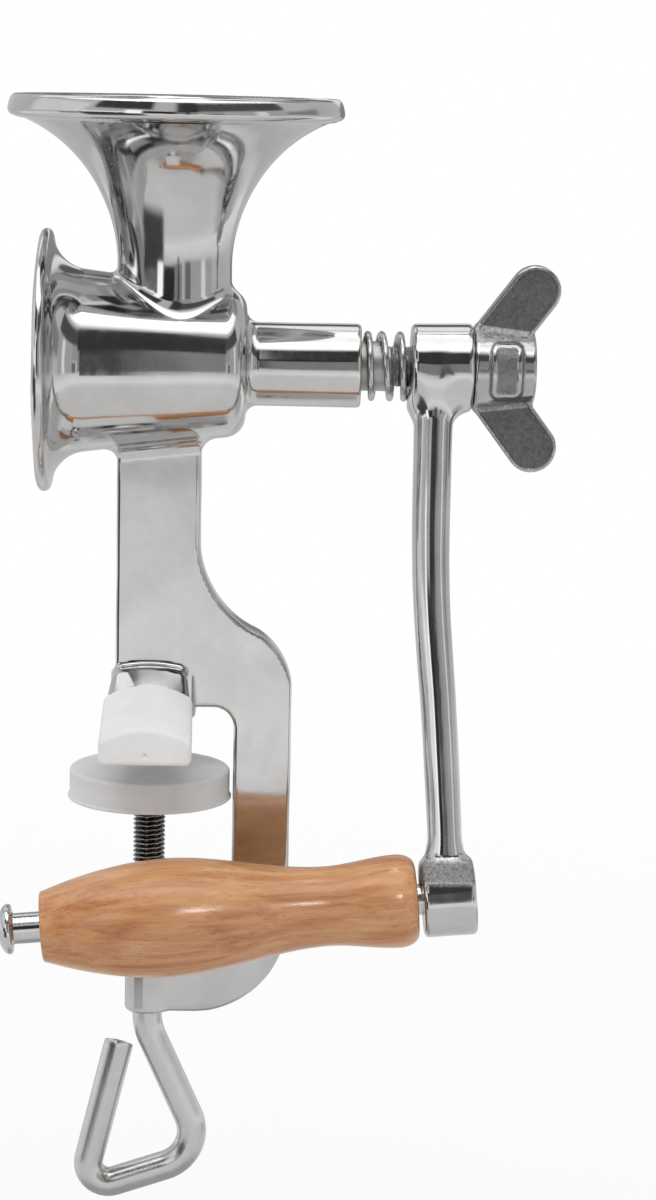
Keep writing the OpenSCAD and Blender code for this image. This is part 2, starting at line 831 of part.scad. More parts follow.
module crank_arm() {
  color(steel)
    crank_pose()
      difference() {
        union() {
          translate([hub_x, 0, 0])
            rotate([0, 90, 0])
              cylinder(h = hub_len, r = hub_r);
          pin_pose()
            cylinder(h = eye_len, r = eye_r, center = true);
          skin([for (i = [0 : arm_steps]) arm_ring(mix(arm_from, arm_to, i / arm_steps))]);
        }
        intersection() {
          translate([hub_x - cut, 0, 0])
            rotate([0, 90, 0])
              rotate([0, 0, crank_lean])
                cylinder(h = hub_len + 2 * cut, r = thread_r + run_gap);
          rotate([crank_lean, 0, 0])
            translate([hub_mid, 0, 0])
              cube([hub_len + 4 * cut, 3 * thread_r, 2 * (flat_half + run_gap)], center = true);
        }
        pin_pose()
          cylinder(h = 3 * eye_len, r = pin_r, center = true);
      }
}

module grip_pin() {
  dome_r = (pin_head_r * pin_head_r + pin_head_t * pin_head_t) / (2 * pin_head_t);
  color(steel)
    crank_pose()
      pin_pose()
        union() {
          translate([0, 0, -eye_len / 2])
            cylinder(h = pin_head_at + eye_len / 2 + touch, r = pin_r);
          translate([0, 0, pin_head_at])
            rotate_extrude()
              intersection() {
                translate([0, pin_head_t - dome_r])
                  circle(r = dome_r, $fn = 96);
                square([pin_head_r, pin_head_t]);
              }
        }
}

module wing_nut() {
  color(cast_grey)
    difference() {
      union() {
        rod_x(nut_x, nut_end, nut_r_near, nut_r_far);
        translate([0, wing_t / 2, axis_z])
          rotate([90, 0, 0])
            linear_extrude(height = wing_t)
              for (side = [-1, 1])
                scale([1, side])
                  wing_profile(0);
      }
      for (face = [-1, 1])
        translate([0, face * wing_t / 2, axis_z])
          rotate([90, 0, 0])
            linear_extrude(height = 2 * panel_depth, center = true)
              for (side = [-1, 1])
                scale([1, side])
                  intersection() {
                    wing_profile(panel_inset);
                    translate([nut_x, nut_r_near + panel_foot])
                      square([2 * nut_len, 2 * wing_reach]);
                  }
      rod_x(nut_x - cut, nut_end + cut, thread_r + run_gap, thread_r + run_gap);
    }
}

// One wing, seen from the front: a web that runs out to a round tip
module wing_profile(inset) {
  tip = [nut_end - tip_back, wing_reach];
  tip_r = wing_tip_r - inset;
  foot = [nut_x + foot_in + inset, nut_r_far - wing_root];
  heel = [nut_end - inset, nut_r_far - wing_root];
  reach = norm(tip - foot);
  lead = atan2(tip[1] - foot[1], tip[0] - foot[0]) + asin(tip_r / reach);
  touch_in = foot + sqrt(reach * reach - tip_r * tip_r) * [cos(lead), sin(lead)];
  touch_out = tip + [tip_r * heel_share, -heel_drop];
  union() {
    polygon([foot, touch_in, tip, touch_out, heel]);
    translate(tip)
      circle(r = tip_r, $fn = 48);
  }
}

// Radius of the grip at a share of its length, from the crank's side to its free end
function grip_radius(t) =
  t < lip_at ? mix(grip_flare_r - lip_drop, grip_flare_r, sqrt(t / lip_at))
  : t < waist_at ? mix(grip_flare_r, grip_waist_r, ease((t - lip_at) / (waist_at - lip_at)))
  : t < belly_at ? mix(grip_waist_r, grip_belly_r, ease((t - waist_at) / (belly_at - waist_at)))
  : t < end_at ? mix(grip_belly_r, grip_end_r + end_swell, pow((t - belly_at) / (end_at - belly_at), 2))
  : mix(grip_end_r + end_swell, grip_end_r - end_drop, pow((t - end_at) / (1 - end_at), 2));

module grip() {
  color(beech)
    crank_pose()
      pin_pose()
        translate([0, 0, grip_near])
          difference() {
            rotate_extrude()
              polygon(concat(
                [[0, 0]],
                [for (i = [0 : grip_steps]) [grip_radius(i / grip_steps), grip_len * i / grip_steps]],
                [[0, grip_len]]
              ));
            translate([0, 0, -cut])
              cylinder(h = grip_len + 2 * cut, r = pin_r + run_gap);
          }
}

// The centre line of a bent rod, with its bends as arcs
function bent_line(path, n) = [
  for (i = [0 : len(path) - 1])
    each path[i][2] == 0
      ? [flat(path, i)]
      : corner(flat(path, i - 1), flat(path, i), flat(path, i + 1), path[i][2], n)
];

// A rod swept along a line in the XZ plane
module bent_rod(line, r, sides) {
  last = len(line) - 1;
  skin([
    for (i = [0 : last])
      let (ahead = unit(line[min(i + 1, last)] - line[max(i - 1, 0)]))
      let (across = [-ahead[1], ahead[0]])
        [
          for (k = [0 : sides - 1])
            let (a = 360 * k / sides)
              [line[i][0] + r * cos(a) * across[0], r * sin(a), line[i][1] + r * cos(a) * across[1]]
        ]
  ]);
}

module clamp_screw() {
  thread_low = arm_bottom + thread_stop;
  color(steel)
    union() {
      bent_rod(bent_line(loop, bend_steps), rod_r, rod_sides);
      translate([0, 0, thread_low])
        cylinder(h = swivel_low - touch - thread_low, r = screw_r);
      translate([0, 0, swivel_low - cut])
        cylinder(h = swivel_t + clip_t + touch + cut, r = screw_neck_r);
    }
}

// The clip that keeps the plate on the screw's neck
module swivel_clip() {
  color(dark_steel)
    translate([0, 0, swivel_top + touch])
      difference() {
        cylinder(h = clip_t - touch, r = clip_r);
        translate([0, 0, -cut])
          cylinder(h = clip_t + 2 * cut, r = screw_neck_r);
      }
}

module swivel_plate() {
  color(steel)
    translate([0, 0, swivel_low])
      difference() {
        cylinder(h = swivel_t, r = plate_r);
        translate([0, 0, -cut])
          cylinder(h = swivel_t + 2 * cut, r = screw_neck_r + run_gap);
      }
}

// The pad: a thick silicone cap whose lip wraps under the steel plate
module clamp_pad() {
  color(frosted)
    difference() {
      translate([0, 0, pad_top - pad_t])
        rotate_extrude()
          union() {
            square([pad_r - pad_edge, pad_t]);
            translate([0, pad_edge])
              square([pad_r, pad_t - 2 * pad_edge]);
            for (height = [pad_edge, pad_t - pad_edge])
              translate([pad_r - pad_edge, height])
                circle(r = pad_edge, $fn = 32);
          }
      translate([0, 0, swivel_low])
        cylinder(h = swivel_t, r = plate_r);
      translate([0, 0, swivel_low - pad_t])
        cylinder(h = pad_t + touch, r = plate_r - pad_lip);
      translate([0, 0, swivel_top - touch])
        cylinder(h = clip_t + 3 * touch, r = clip_r + clip_room);
    }
}

body_casting();
fixed_burr();
rear_bush();
thrust_washer();
front_boot();
rear_boot();
spindle();
feed_auger();
rotor_burr();
burr_washer();
burr_screw();
crank_spring();
crank_arm();
grip_pin();
wing_nut();
grip();
clamp_screw();
swivel_clip();
swivel_plate();
clamp_pad();
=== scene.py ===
import json
import math

import bpy
import numpy as np
from mathutils import Matrix, Vector


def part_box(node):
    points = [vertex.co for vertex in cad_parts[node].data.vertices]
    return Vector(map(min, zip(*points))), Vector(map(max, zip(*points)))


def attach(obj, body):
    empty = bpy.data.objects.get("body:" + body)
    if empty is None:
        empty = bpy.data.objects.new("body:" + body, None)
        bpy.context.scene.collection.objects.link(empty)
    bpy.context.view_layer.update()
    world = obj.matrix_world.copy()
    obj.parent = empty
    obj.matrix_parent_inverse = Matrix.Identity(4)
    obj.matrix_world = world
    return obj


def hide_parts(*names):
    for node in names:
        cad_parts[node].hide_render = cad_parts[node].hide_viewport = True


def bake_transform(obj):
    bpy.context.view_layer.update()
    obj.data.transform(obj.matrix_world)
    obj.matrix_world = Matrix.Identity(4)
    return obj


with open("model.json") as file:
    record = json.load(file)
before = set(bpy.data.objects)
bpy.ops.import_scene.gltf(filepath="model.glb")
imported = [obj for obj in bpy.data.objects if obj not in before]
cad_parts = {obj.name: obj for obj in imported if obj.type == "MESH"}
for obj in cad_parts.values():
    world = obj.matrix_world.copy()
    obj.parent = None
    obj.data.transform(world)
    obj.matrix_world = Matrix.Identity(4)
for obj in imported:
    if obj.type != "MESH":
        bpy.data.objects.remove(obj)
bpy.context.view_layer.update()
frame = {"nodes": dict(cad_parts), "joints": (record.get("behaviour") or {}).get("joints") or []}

# All sizes below are in millimetres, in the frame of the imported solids: X along the spindle, Y to the
# back, Z up, with the origin on the clamp screw's axis in the plane of the boots' soles.
MM = 0.001
# Clearance of a running fit, on the radius
FIT = 0.06
joints = {joint["name"]: joint for joint in frame["joints"]}
AXIS_Z = joints["crank_turn"]["pos_m"][2] / MM
EYE_X = joints["grip_spin"]["pos_m"][0] / MM

# Hopper
HOPPER_X = 4
HOPPER_D = 70
HOPPER_TOP = 135
LIP_R = 2.05
LIP_HALF = (1.9, 2.3)
LIP_ROUND = 1.2
LIP_SWELL_R = 9
LIP_LEAN = math.radians(15)
NECK_R = 12
FLARE_R = 33
HOPPER_WALL = 2.4
NECK_FILLET = 1.7
LIP_FILLET = 0.6
LIP_MID = HOPPER_D / 2 - LIP_R
FLARE_AXIS = NECK_R + FLARE_R
FLARE_Z = HOPPER_TOP - 2 * LIP_R - math.sqrt(FLARE_R ** 2 - (FLARE_AXIS - LIP_MID) ** 2)

# Barrel
FLANGE_R = 27.6
FLANGE_T = 2.4
FLANGE_X = -24
FLANGE_FLARE = 7
BARREL_FRONT_R = 19.15
BARREL_REAR_R = 15.7
BARREL_END = 19.3
SHOULDER_R = 4
BOSS_R = 8.8
BOSS_END = 43.4
BOSS_FILLET = 2.5
BOSS_EDGE = 0.8
CHAMBER_R = 12.6
CHAMBER_END = 15
BURR_FACE_R = 22.5
BURR_SLEEVE_R = 17
BURR_END = -13
BUSH_R = 7
CAVITY_EDGE = 0.3

# Column and clamp frame
PLATE_T = 7
COLUMN_LEFT = -7.5
COLUMN_RIGHT = 10.2
COLUMN_TOP = 65.5
FRAME_OUT = 30.2
FRAME_IN = 17.9
SHOULDER_Z = 19.15
SHOULDER_SLOPE = math.radians(26.6)
BEND_IN = 11
BEND_OUT = 8
THROAT_TOP = 6.5
THROAT_R = 4.3
ARM_TOP = -50
ARM_BOTTOM = -61.5
CORNER_R = 21
BEVEL_W = 2.1
BEVEL_SLOPE = math.radians(16)
BEVEL_FADE = 8
PLATE_EDGE = 0.8
PLATE_FILLET = 3
SCREW_BOSS_R = 4.9
SCREW_BOSS_FILLET = 0.9
SCREW_BORE_R = 3.51

# Toes and boots
BOOT_REACH = 31.5
BOOT_MOUTH = 15
BOOT_NOSE_W = 9.6
BOOT_MOUTH_W = 9.3
BOOT_NOSE_H = 7.6
BOOT_MOUTH_H = 13.8
BOOT_WALL = 1.6
BOOT_ARCH = 2.8
BOOT_EDGE = 1.3
BOOT_TOP_EDGE = 0.9
BOOT_NOSE_EDGE = 0.8
BOOT_MOUTH_EDGE = 0.45
BOOT_ROOM = 0.03
GATE_R = 0.45
GATE_Z = 2
GATE_EDGE = 0.15
TOE_W = 8.9
TOE_ROOT_W = 7.6
TOE_ROOT_H = 15.8
TOE_ROOT_ARCH = 0.8
TOE_DROP = 0.5
TOE_EDGE = 1.5
TOE_END_EDGE = 0.4
TOE_FILLET = 0.8
TONGUE_EDGE = 0.5
TONGUE_SHORT = 2

# Crank, in its own frame: spindle axis along X, arm straight down
HUB_X = 54
HUB_LEN = 13
HUB_R = 9.2
HUB_DRAFT = 0.02
HUB_EDGE = 1.1
HUB_FILLET = 4
HUB_MID = HUB_X + HUB_LEN / 2
CRANK_R = 111.3
CRANK_W = (8.2, 6.7)
CRANK_T = (11, 9)
CRANK_ROUND = 3.8
CRANK_LEAN = math.radians(17.3)
PIN_TILT = math.radians(5)
EYE_R = 7.9
EYE_LEN = 10.8
EYE_EDGE = 0.9
EYE_FILLET = 1.6
EYE_NECK = EYE_LEN - 0.7
CRANK_BORE_EDGE = 0.35
PIN_R = 3.2

# Wing nut
NUT_X = 67.12
NUT_LEN = 13
NUT_END = NUT_X + NUT_LEN
NUT_MID = (NUT_X + NUT_END) / 2
NUT_NEAR_R = 8.5
NUT_FAR_R = 7
NUT_EDGE = 0.7
NUT_BORE_EDGE = 0.4
PANEL_SHIFT = 0.2
PANEL_HALF = (3.1, 5.7)
PANEL_ROUND = 1.6
PANEL_RIM = 1
PANEL_RISE = 0.34
PANEL_SINK = 0.4
PANEL_SLOPE = 0.4
WING_TIP_R = 5.3
WING_TIP = (79.8, 16.5)
WING_FOOT = (70.8, 4.6)
WING_T = 4
WING_RIM = 0.55
WING_SINK = 0.45
WING_SLOPE = 0.4
WING_EDGE = 0.6
WING_FILLET = 1.3

# Spindle and spring
SPINDLE_START = -19.4
SPINDLE_END = 78.6
SPINDLE_HOLE_R = 2.5
SPINDLE_TIP_R = 3.6
SPINDLE_CHAMFER = 1
SEAT_R = 4
SEAT_END = -12.8
JOURNAL_R = 5.25
JOURNAL_END = 48.6
THREAD_R = 4.9
THREAD_START = 49
THREAD_PITCH = 1.5
THREAD_DEPTH = 0.85
THREAD_CREST = 0.12
FLAT_HALF = 4
FLATS_END = 72
SPRING_R = 6.7
SPRING_TURNS = 3
SPRING_END_TURN = 0.75
SPRING_END_PITCH = 1.95
WIRE_R = 0.7

# Grip and pin, along the pin's axis from the middle of its hub
GRIP_LEN = 77.3
GRIP_NEAR = EYE_LEN / 2 + 1.2
GRIP_FAR = GRIP_NEAR + GRIP_LEN
GRIP_COLLAR_R = 9.6
GRIP_COLLAR_ROUND = 2.4
GRIP_WAIST_R = 8.2
GRIP_BELLY_R = 12.2
GRIP_END_R = 7.4
GRIP_END_ROUND = 0.6
GRIP_FALL_POWER = 1.9
PIN_SHOW = 6
PIN_CHAMFER = 0.3
PIN_NECK = 0.4
PIN_PEEN_R = 1.6
PIN_HEAD_R = 5.2
PIN_HEAD_T = 3
PIN_RIM_R = 0.7

# Where the grip's radii lie, as shares of its length
GRIP_COLLAR = 0.05
GRIP_WAIST = 0.24
GRIP_BELLY = 0.66
GRIP_EDGE = 0.99

# Clamp screw and pad
SCREW_R = 3.45
SCREW_END = -61
SCREW_PITCH = 1
SCREW_DEPTH = 0.8
SCREW_FADE = 0.8
SCREW_NECK = 1.1
SCREW_NECK_R = 2.5
SCREW_GAP = 0.12
BLACK_END = ARM_TOP - 4
ROD_R = 3.2
PAD_R = 17.2
PAD_TOP = -7.4
PAD_T = 6.4
PAD_EDGE = 0.7
PAD_HOLD = 3
PAD_LIP = 0.1
PAD_LIP_R = 0.3
PAD_SOCKET_R = 4.6
PAD_SOCKET = 1.3
PAD_RING = 5.4
PAD_RING_DEPTH = 0.12
PLATE_R = 14.4
SWIVEL_TOP = PAD_TOP - 3.4
SWIVEL_LOW = SWIVEL_TOP - 2

# Radius of the pinhole that a turned profile leaves at its axis
PINHOLE_R = 0.01

crank_pose = Matrix.Translation((0, 0, AXIS_Z * MM)) @ Matrix.Rotation(-CRANK_LEAN, 4, "X")
pin_pose = (
    crank_pose
    @ Matrix.Translation((EYE_X * MM, 0, -CRANK_R * MM))
    @ Matrix.Rotation(-math.pi / 2 - PIN_TILT, 4, "Y")
)


def ease(t):
    """A smooth step from 0 to 1."""
    t = np.clip(t, 0, 1)
    return t * t * (3 - 2 * t)


def mix(a, b, t):
    return a + (b - a) * t


def space_of(node):
    """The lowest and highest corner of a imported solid, in millimetres."""
    return [np.array(corner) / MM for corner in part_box(node)]


def turn_round(sides):
    """Angles of points spaced evenly round a circle."""
    return 2 * np.pi * np.arange(sides) / sides


# Fields: a field is below zero inside a solid, and measures distance near its surface
def fillet(a, b, r):
    """Union of two solids with a concave fillet between them."""
    return np.maximum(r, np.minimum(a, b)) - np.hypot(np.maximum(r - a, 0), np.maximum(r - b, 0))


def soft_cut(a, b, r):
    """Intersection of two solids with a rounded edge."""
    return np.minimum(-r, np.maximum(a, b)) + np.hypot(np.maximum(r + a, 0), np.maximum(r + b, 0))


def rounded_box(u, v, half_u, half_v, r):
    du = np.abs(u) - half_u + r
    dv = np.abs(v) - half_v + r
    return np.hypot(np.maximum(du, 0), np.maximum(dv, 0)) + np.minimum(np.maximum(du, dv), 0) - r


def capsule(u, v, a, b, r):
    """A bar with round ends between two points of a plane."""
    run = (b[0] - a[0], b[1] - a[1])
    t = ((u - a[0]) * run[0] + (v - a[1]) * run[1]) / (run[0] ** 2 + run[1] ** 2)
    t = np.clip(t, 0, 1)
    return np.hypot(u - a[0] - t * run[0], v - a[1] - t * run[1]) - r


def slope_of(field, points, reach):
    """Slope of a field at points, by differences."""
    slope = np.empty_like(points)
    for axis in range(3):
        shift = np.zeros(3)
        shift[axis] = reach
        slope[:, axis] = field(*(points + shift).T) - field(*(points - shift).T)
    return slope / (2 * reach)


def surface(field, low, high, step):
    """Quads over the skin of a field, with normals: one point for each crossed cell, drawn onto it."""
    axes = [np.arange(a - 2 * step, b + 3 * step, step) for a, b in zip(low, high)]
    shape = [len(axis) for axis in axes]
    value = np.broadcast_to(field(*np.meshgrid(*axes, indexing="ij", sparse=True)), shape)
    stride = np.array([shape[1] * shape[2], shape[2], 1])
    quads, crossings = [], []
    for axis in range(3):
        near = tuple(slice(0, -1) if k == axis else slice(None) for k in range(3))
        far = tuple(slice(1, None) if k == axis else slice(None) for k in range(3))
        index = np.argwhere((value[near] < 0) != (value[far] < 0))
        v0 = value[near][tuple(index.T)]
        v1 = value[far][tuple(index.T)]
        crossing = index.astype(float)
        crossing[:, axis] += v0 / (v0 - v1)
        b, c = stride[(axis + 1) % 3], stride[(axis + 2) % 3]
        home = index @ stride
        ring = np.stack([home - b - c, home - c, home, home - b], 1)
        ring[v0 >= 0] = ring[v0 >= 0, ::-1]
        quads.append(ring)
        crossings.append(crossing)
    quads = np.concatenate(quads)
    crossings = np.concatenate(crossings)
    index = np.unique(quads, return_inverse=True)[1].ravel()
    count = np.bincount(index)
    points = np.stack([np.bincount(index, np.repeat(crossings[:, k], 4)) / count for k in range(3)], 1)
    points = points * step + np.array([axis[0] for axis in axes])
    for _ in range(4):
        slope = slope_of(field, points, step / 4)
        square = np.maximum((slope ** 2).sum(1), 0.05)
        move = field(*points.T) / square
        points -= slope * np.clip(move, -step / 2, step / 2)[:, None]
    normals = slope_of(field, points, step / 3)
    normals /= np.maximum(np.linalg.norm(normals, axis=1), 1e-6)[:, None]
    return points, index.reshape(-1, 4), normals


def piece(name, points, faces, materials, normals=None, pose=None, crease=None):
    """A mesh object from points in millimetres."""
    mesh = bpy.data.meshes.new(name)
    mesh.from_pydata((np.asarray(points) * MM).tolist(), [], [list(face) for face in faces])
    mesh.polygons.foreach_set("use_smooth", [True] * len(mesh.polygons))
    if crease:
        mesh.set_sharp_from_angle(angle=math.radians(crease))
    if normals is not None:
        mesh.normals_split_custom_set_from_vertices(normals.tolist())
    for material in materials:
        mesh.materials.append(material)
    obj = bpy.data.objects.new(name, mesh)
    bpy.context.scene.collection.objects.link(obj)
    if pose is not None:
        obj.matrix_world = pose
    return obj


def dress(obj, body, slot, *nodes):
    """The piece rides on a body and stands for its solid."""
    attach(obj, body)
    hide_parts(*nodes)


def mark(obj, name, values):
    """Keeps one number for each point of a mesh, for its material to read."""
    attribute = obj.data.attributes.new(name, "FLOAT", "POINT")
    attribute.data.foreach_set("value", np.asarray(values, np.float32))


def rings(ring_points):
    """Points and faces of a closed skin over rings of equal length, with flat ends."""
    count, sides = ring_points.shape[:2]
    grid = np.arange(count * sides).reshape(count, sides)
    turned = np.roll(grid, -1, axis=1)
    sides_faces = np.stack([grid[:-1], turned[:-1], turned[1:], grid[1:]], -1).reshape(-1, 4)
    ends = [grid[0, ::-1].tolist(), grid[-1].tolist()]
    return ring_points.reshape(-1, 3), sides_faces.tolist() + ends


def lathe(profile, sides):
    """Points and faces of a closed profile of (radius, height) turned about Z."""
    profile = np.asarray(profile, float)
    angle = turn_round(sides)
    points = np.stack([
        profile[:, :1] * np.cos(angle),
        profile[:, :1] * np.sin(angle),
        np.repeat(profile[:, 1:], sides, 1),
    ], -1)
    grid = np.arange(len(profile) * sides).reshape(len(profile), sides)
    below = np.roll(grid, -1, axis=0)
    faces = np.stack([grid, np.roll(grid, -1, 1), np.roll(below, -1, 1), below], -1)
    return points.reshape(-1, 3), faces.reshape(-1, 4).tolist()


def arc(centre, r, start, end, steps):
    """Points of an arc in a plane, with angles in degrees."""
    angle = np.radians(np.linspace(start, end, steps + 1))
    return np.stack([centre[0] + r * np.cos(angle), centre[1] + r * np.sin(angle)], 1)


# Materials
def new_material(name, colour, metallic, roughness):
    """A principled material, with its node tree and its shader."""
    material = bpy.data.materials.new(name)
    material.use_nodes = True
    shader = material.node_tree.nodes["Principled BSDF"]
    shader.inputs["Base Color"].default_value = (*colour, 1)
    shader.inputs["Metallic"].default_value = metallic
    shader.inputs["Roughness"].default_value = roughness
    return material, material.node_tree, shader


def coordinates(tree, stretch=(1, 1, 1)):
    """Object coordinates, stretched for a grain."""
    place = tree.nodes.new("ShaderNodeTexCoord")
    mapping = tree.nodes.new("ShaderNodeMapping")
    mapping.inputs["Scale"].default_value = stretch
    tree.links.new(place.outputs["Object"], mapping.inputs["Vector"])
    return mapping.outputs["Vector"]


def noise(tree, vector, scale, detail=3, rough=0.5, distortion=0):
    node = tree.nodes.new("ShaderNodeTexNoise")
    node.inputs["Scale"].default_value = scale
    node.inputs["Detail"].default_value = detail
    node.inputs["Roughness"].default_value = rough
    node.inputs["Distortion"].default_value = distortion
    tree.links.new(vector, node.inputs["Vector"])
    return node.outputs["Fac"]


def ramp(tree, value, *stops):
    """A colour ramp from (place, colour) stops; a single number stands for a grey."""
    node = tree.nodes.new("ShaderNodeValToRGB")
    elements = node.color_ramp.elements
    while len(elements) < len(stops):
        elements.new(1)
    for element, (place, colour) in zip(elements, stops):
        element.position = place
        element.color = (*colour, 1) if isinstance(colour, tuple) else (colour, colour, colour, 1)
    tree.links.new(value, node.inputs["Fac"])
    return node.outputs["Color"]


def blend_colours(tree, factor, first, second):
    node = tree.nodes.new("ShaderNodeMix")
    node.data_type = "RGBA"
    tree.links.new(factor, node.inputs["Factor"])
    tree.links.new(first, node.inputs["A"])
    tree.links.new(second, node.inputs["B"])
    return node.outputs["Result"]


def bump(tree, height, depth_mm, normal=None):
    node = tree.nodes.new("ShaderNodeBump")
    node.inputs["Distance"].default_value = depth_mm * MM
    tree.links.new(height, node.inputs["Height"])
    if normal is not None:
        tree.links.new(normal, node.inputs["Normal"])
    return node.outputs["Normal"]


def attribute(tree, name):
    node = tree.nodes.new("ShaderNodeAttribute")
    node.attribute_name = name
    return node.outputs["Fac"]


def calculate(tree, operation, first, second):
    node = tree.nodes.new("ShaderNodeMath")
    node.operation = operation
    tree.links.new(first, node.inputs[0])
    tree.links.new(second, node.inputs[1])
    return node.outputs[0]


def product(tree, first, second):
    return calculate(tree, "MULTIPLY", first, second)


def larger_of(tree, first, second):
    return calculate(tree, "MAXIMUM", first, second)


def feed(tree, shader, colour, gloss, normal):
    """Links a shader to its colour, roughness and bump."""
    tree.links.new(colour, shader.inputs["Base Color"])
    tree.links.new(gloss, shader.inputs["Roughness"])
    tree.links.new(normal, shader.inputs["Normal"])


def polished_steel(name, grain, satin_mark=None, rough_mark=None):
    """Mirror-polished stainless casting with faint stains and buffing lines.

    It is satin or rough-cast where a mark says so.
    """
    material, tree, shader = new_material(name, (0.6, 0.595, 0.59), 1, 0.08)
    place = coordinates(tree)
    stain = noise(tree, place, 90, 4, 0.6)
    colour = ramp(tree, stain, (0.3, (0.55, 0.543, 0.536)), (0.7, (0.65, 0.645, 0.64)))
    buff = noise(tree, coordinates(tree, grain), 260, 3, 0.65)
    gloss = ramp(tree, buff, (0.35, 0.06), (0.75, 0.14))
    skin = bump(tree, buff, 0.003)
    if satin_mark:
        satin = ramp(tree, buff, (0.35, 0.07), (0.75, 0.15))
        gloss = blend_colours(tree, attribute(tree, satin_mark), gloss, satin)
    if rough_mark:
        rough = attribute(tree, rough_mark)
        grit = noise(tree, place, 1500, 4, 0.7)
        cast = ramp(tree, grit, (0.3, 0.15), (0.7, (0.55, 0.545, 0.54)))
        colour = blend_colours(tree, rough, colour, cast)
        gloss = blend_colours(tree, rough, gloss, ramp(tree, grit, (0.3, 0.3), (0.7, 0.45)))
        skin = bump(tree, product(tree, rough, grit), 0.5, skin)
    feed(tree, shader, colour, gloss, skin)
    return material


def turned_steel(name, dark, light, roughness, stretch):
    """Turned or drawn steel: fine lines round or along the piece, with a soft stain."""
    material, tree, shader = new_material(name, light, 1, roughness)
    lines = noise(tree, coordinates(tree, stretch), 400, 3, 0.7)
    stain = noise(tree, coordinates(tree), 140, 4, 0.6)
    lined = ramp(tree, lines, (0.3, dark), (0.75, light))
    stained = ramp(tree, stain, (0.3, dark), (0.7, light))
    gloss = ramp(tree, lines, (0.25, roughness * 0.7), (0.8, roughness * 1.4))
    feed(tree, shader, blend_colours(tree, stain, lined, stained), gloss, bump(tree, lines, 0.03))
    return material


def faced_steel(name, dark, light, roughness):
    """Steel faced on a lathe: fine uneven rings round the spindle's axis."""
    material, tree, shader = new_material(name, light, 1, roughness)
    centred = tree.nodes.new("ShaderNodeMapping")
    centred.inputs["Location"].default_value = (0, 0, -AXIS_Z * MM)
    tree.links.new(coordinates(tree), centred.inputs["Vector"])
    wave = tree.nodes.new("ShaderNodeTexWave")
    wave.wave_type = "RINGS"
    wave.rings_direction = "X"
    wave.inputs["Scale"].default_value = 620
    wave.inputs["Distortion"].default_value = 2.5
    wave.inputs["Detail"].default_value = 3
    tree.links.new(centred.outputs["Vector"], wave.inputs["Vector"])
    lines = wave.outputs["Fac"]
    stain = noise(tree, coordinates(tree), 320, 4, 0.6)
    cut = ramp(tree, lines, (0.1, dark), (0.9, light))
    stained = ramp(tree, stain, (0.35, dark), (0.65, light))
    gloss = ramp(tree, lines, (0.1, roughness * 0.75), (0.9, roughness * 1.3))
    feed(tree, shader, blend_colours(tree, stain, cut, stained), gloss, bump(tree, lines, 0.02))
    return material


def blackened_thread():
    """A blackened thread whose crests are worn bright."""
    material, tree, shader = new_material("blackened_thread", (0.1, 0.1, 0.1), 1, 0.25)
    wear = noise(tree, coordinates(tree), 700, 3, 0.6)
    black = ramp(tree, wear, (0.3, (0.05, 0.048, 0.046)), (0.7, (0.14, 0.135, 0.13)))
    bright = ramp(tree, wear, (0.3, (0.3, 0.29, 0.28)), (0.6, (0.62, 0.61, 0.6)))
    colour = blend_colours(tree, attribute(tree, "crest"), black, bright)
    gloss = ramp(tree, wear, (0.3, 0.16), (0.7, 0.34))
    feed(tree, shader, colour, gloss, bump(tree, wear, 0.03))
    return material


def cast_nut_steel():
    """The wing nut: dark sand-cast panels with a painted shade line round the front frame, a bright
    sandy fillet, and a polished hub and rims.
    """
    material, tree, shader = new_material("nut_cast_and_ground", (0.6, 0.6, 0.6), 1, 0.25)
    cast = attribute(tree, "cast")
    sandy = attribute(tree, "sandy")
    place = coordinates(tree)
    grit = noise(tree, place, 1100, 5, 0.75)
    patch = noise(tree, place, 160, 3, 0.5)
    deep = ramp(tree, grit, (0.3, 0.09), (0.75, (0.22, 0.215, 0.21)))
    worn = ramp(tree, grit, (0.3, 0.14), (0.75, (0.32, 0.315, 0.31)))
    bright = ramp(tree, patch, (0.3, (0.44, 0.436, 0.43)), (0.7, (0.53, 0.526, 0.52)))
    sand = ramp(tree, grit, (0.35, (0.22, 0.216, 0.21)), (0.65, (0.66, 0.655, 0.65)))
    colour = blend_colours(tree, sandy, bright, sand)
    colour = blend_colours(tree, cast, colour, blend_colours(tree, patch, deep, worn))
    smooth = ramp(tree, grit, (0.3, 0.08), (0.8, 0.16))
    coarse = ramp(tree, grit, (0.3, 0.36), (0.8, 0.55))
    uneven = larger_of(tree, cast, sandy)
    gloss = blend_colours(tree, uneven, smooth, coarse)
    feed(tree, shader, colour, gloss, bump(tree, product(tree, uneven, grit), 0.25))
    return material


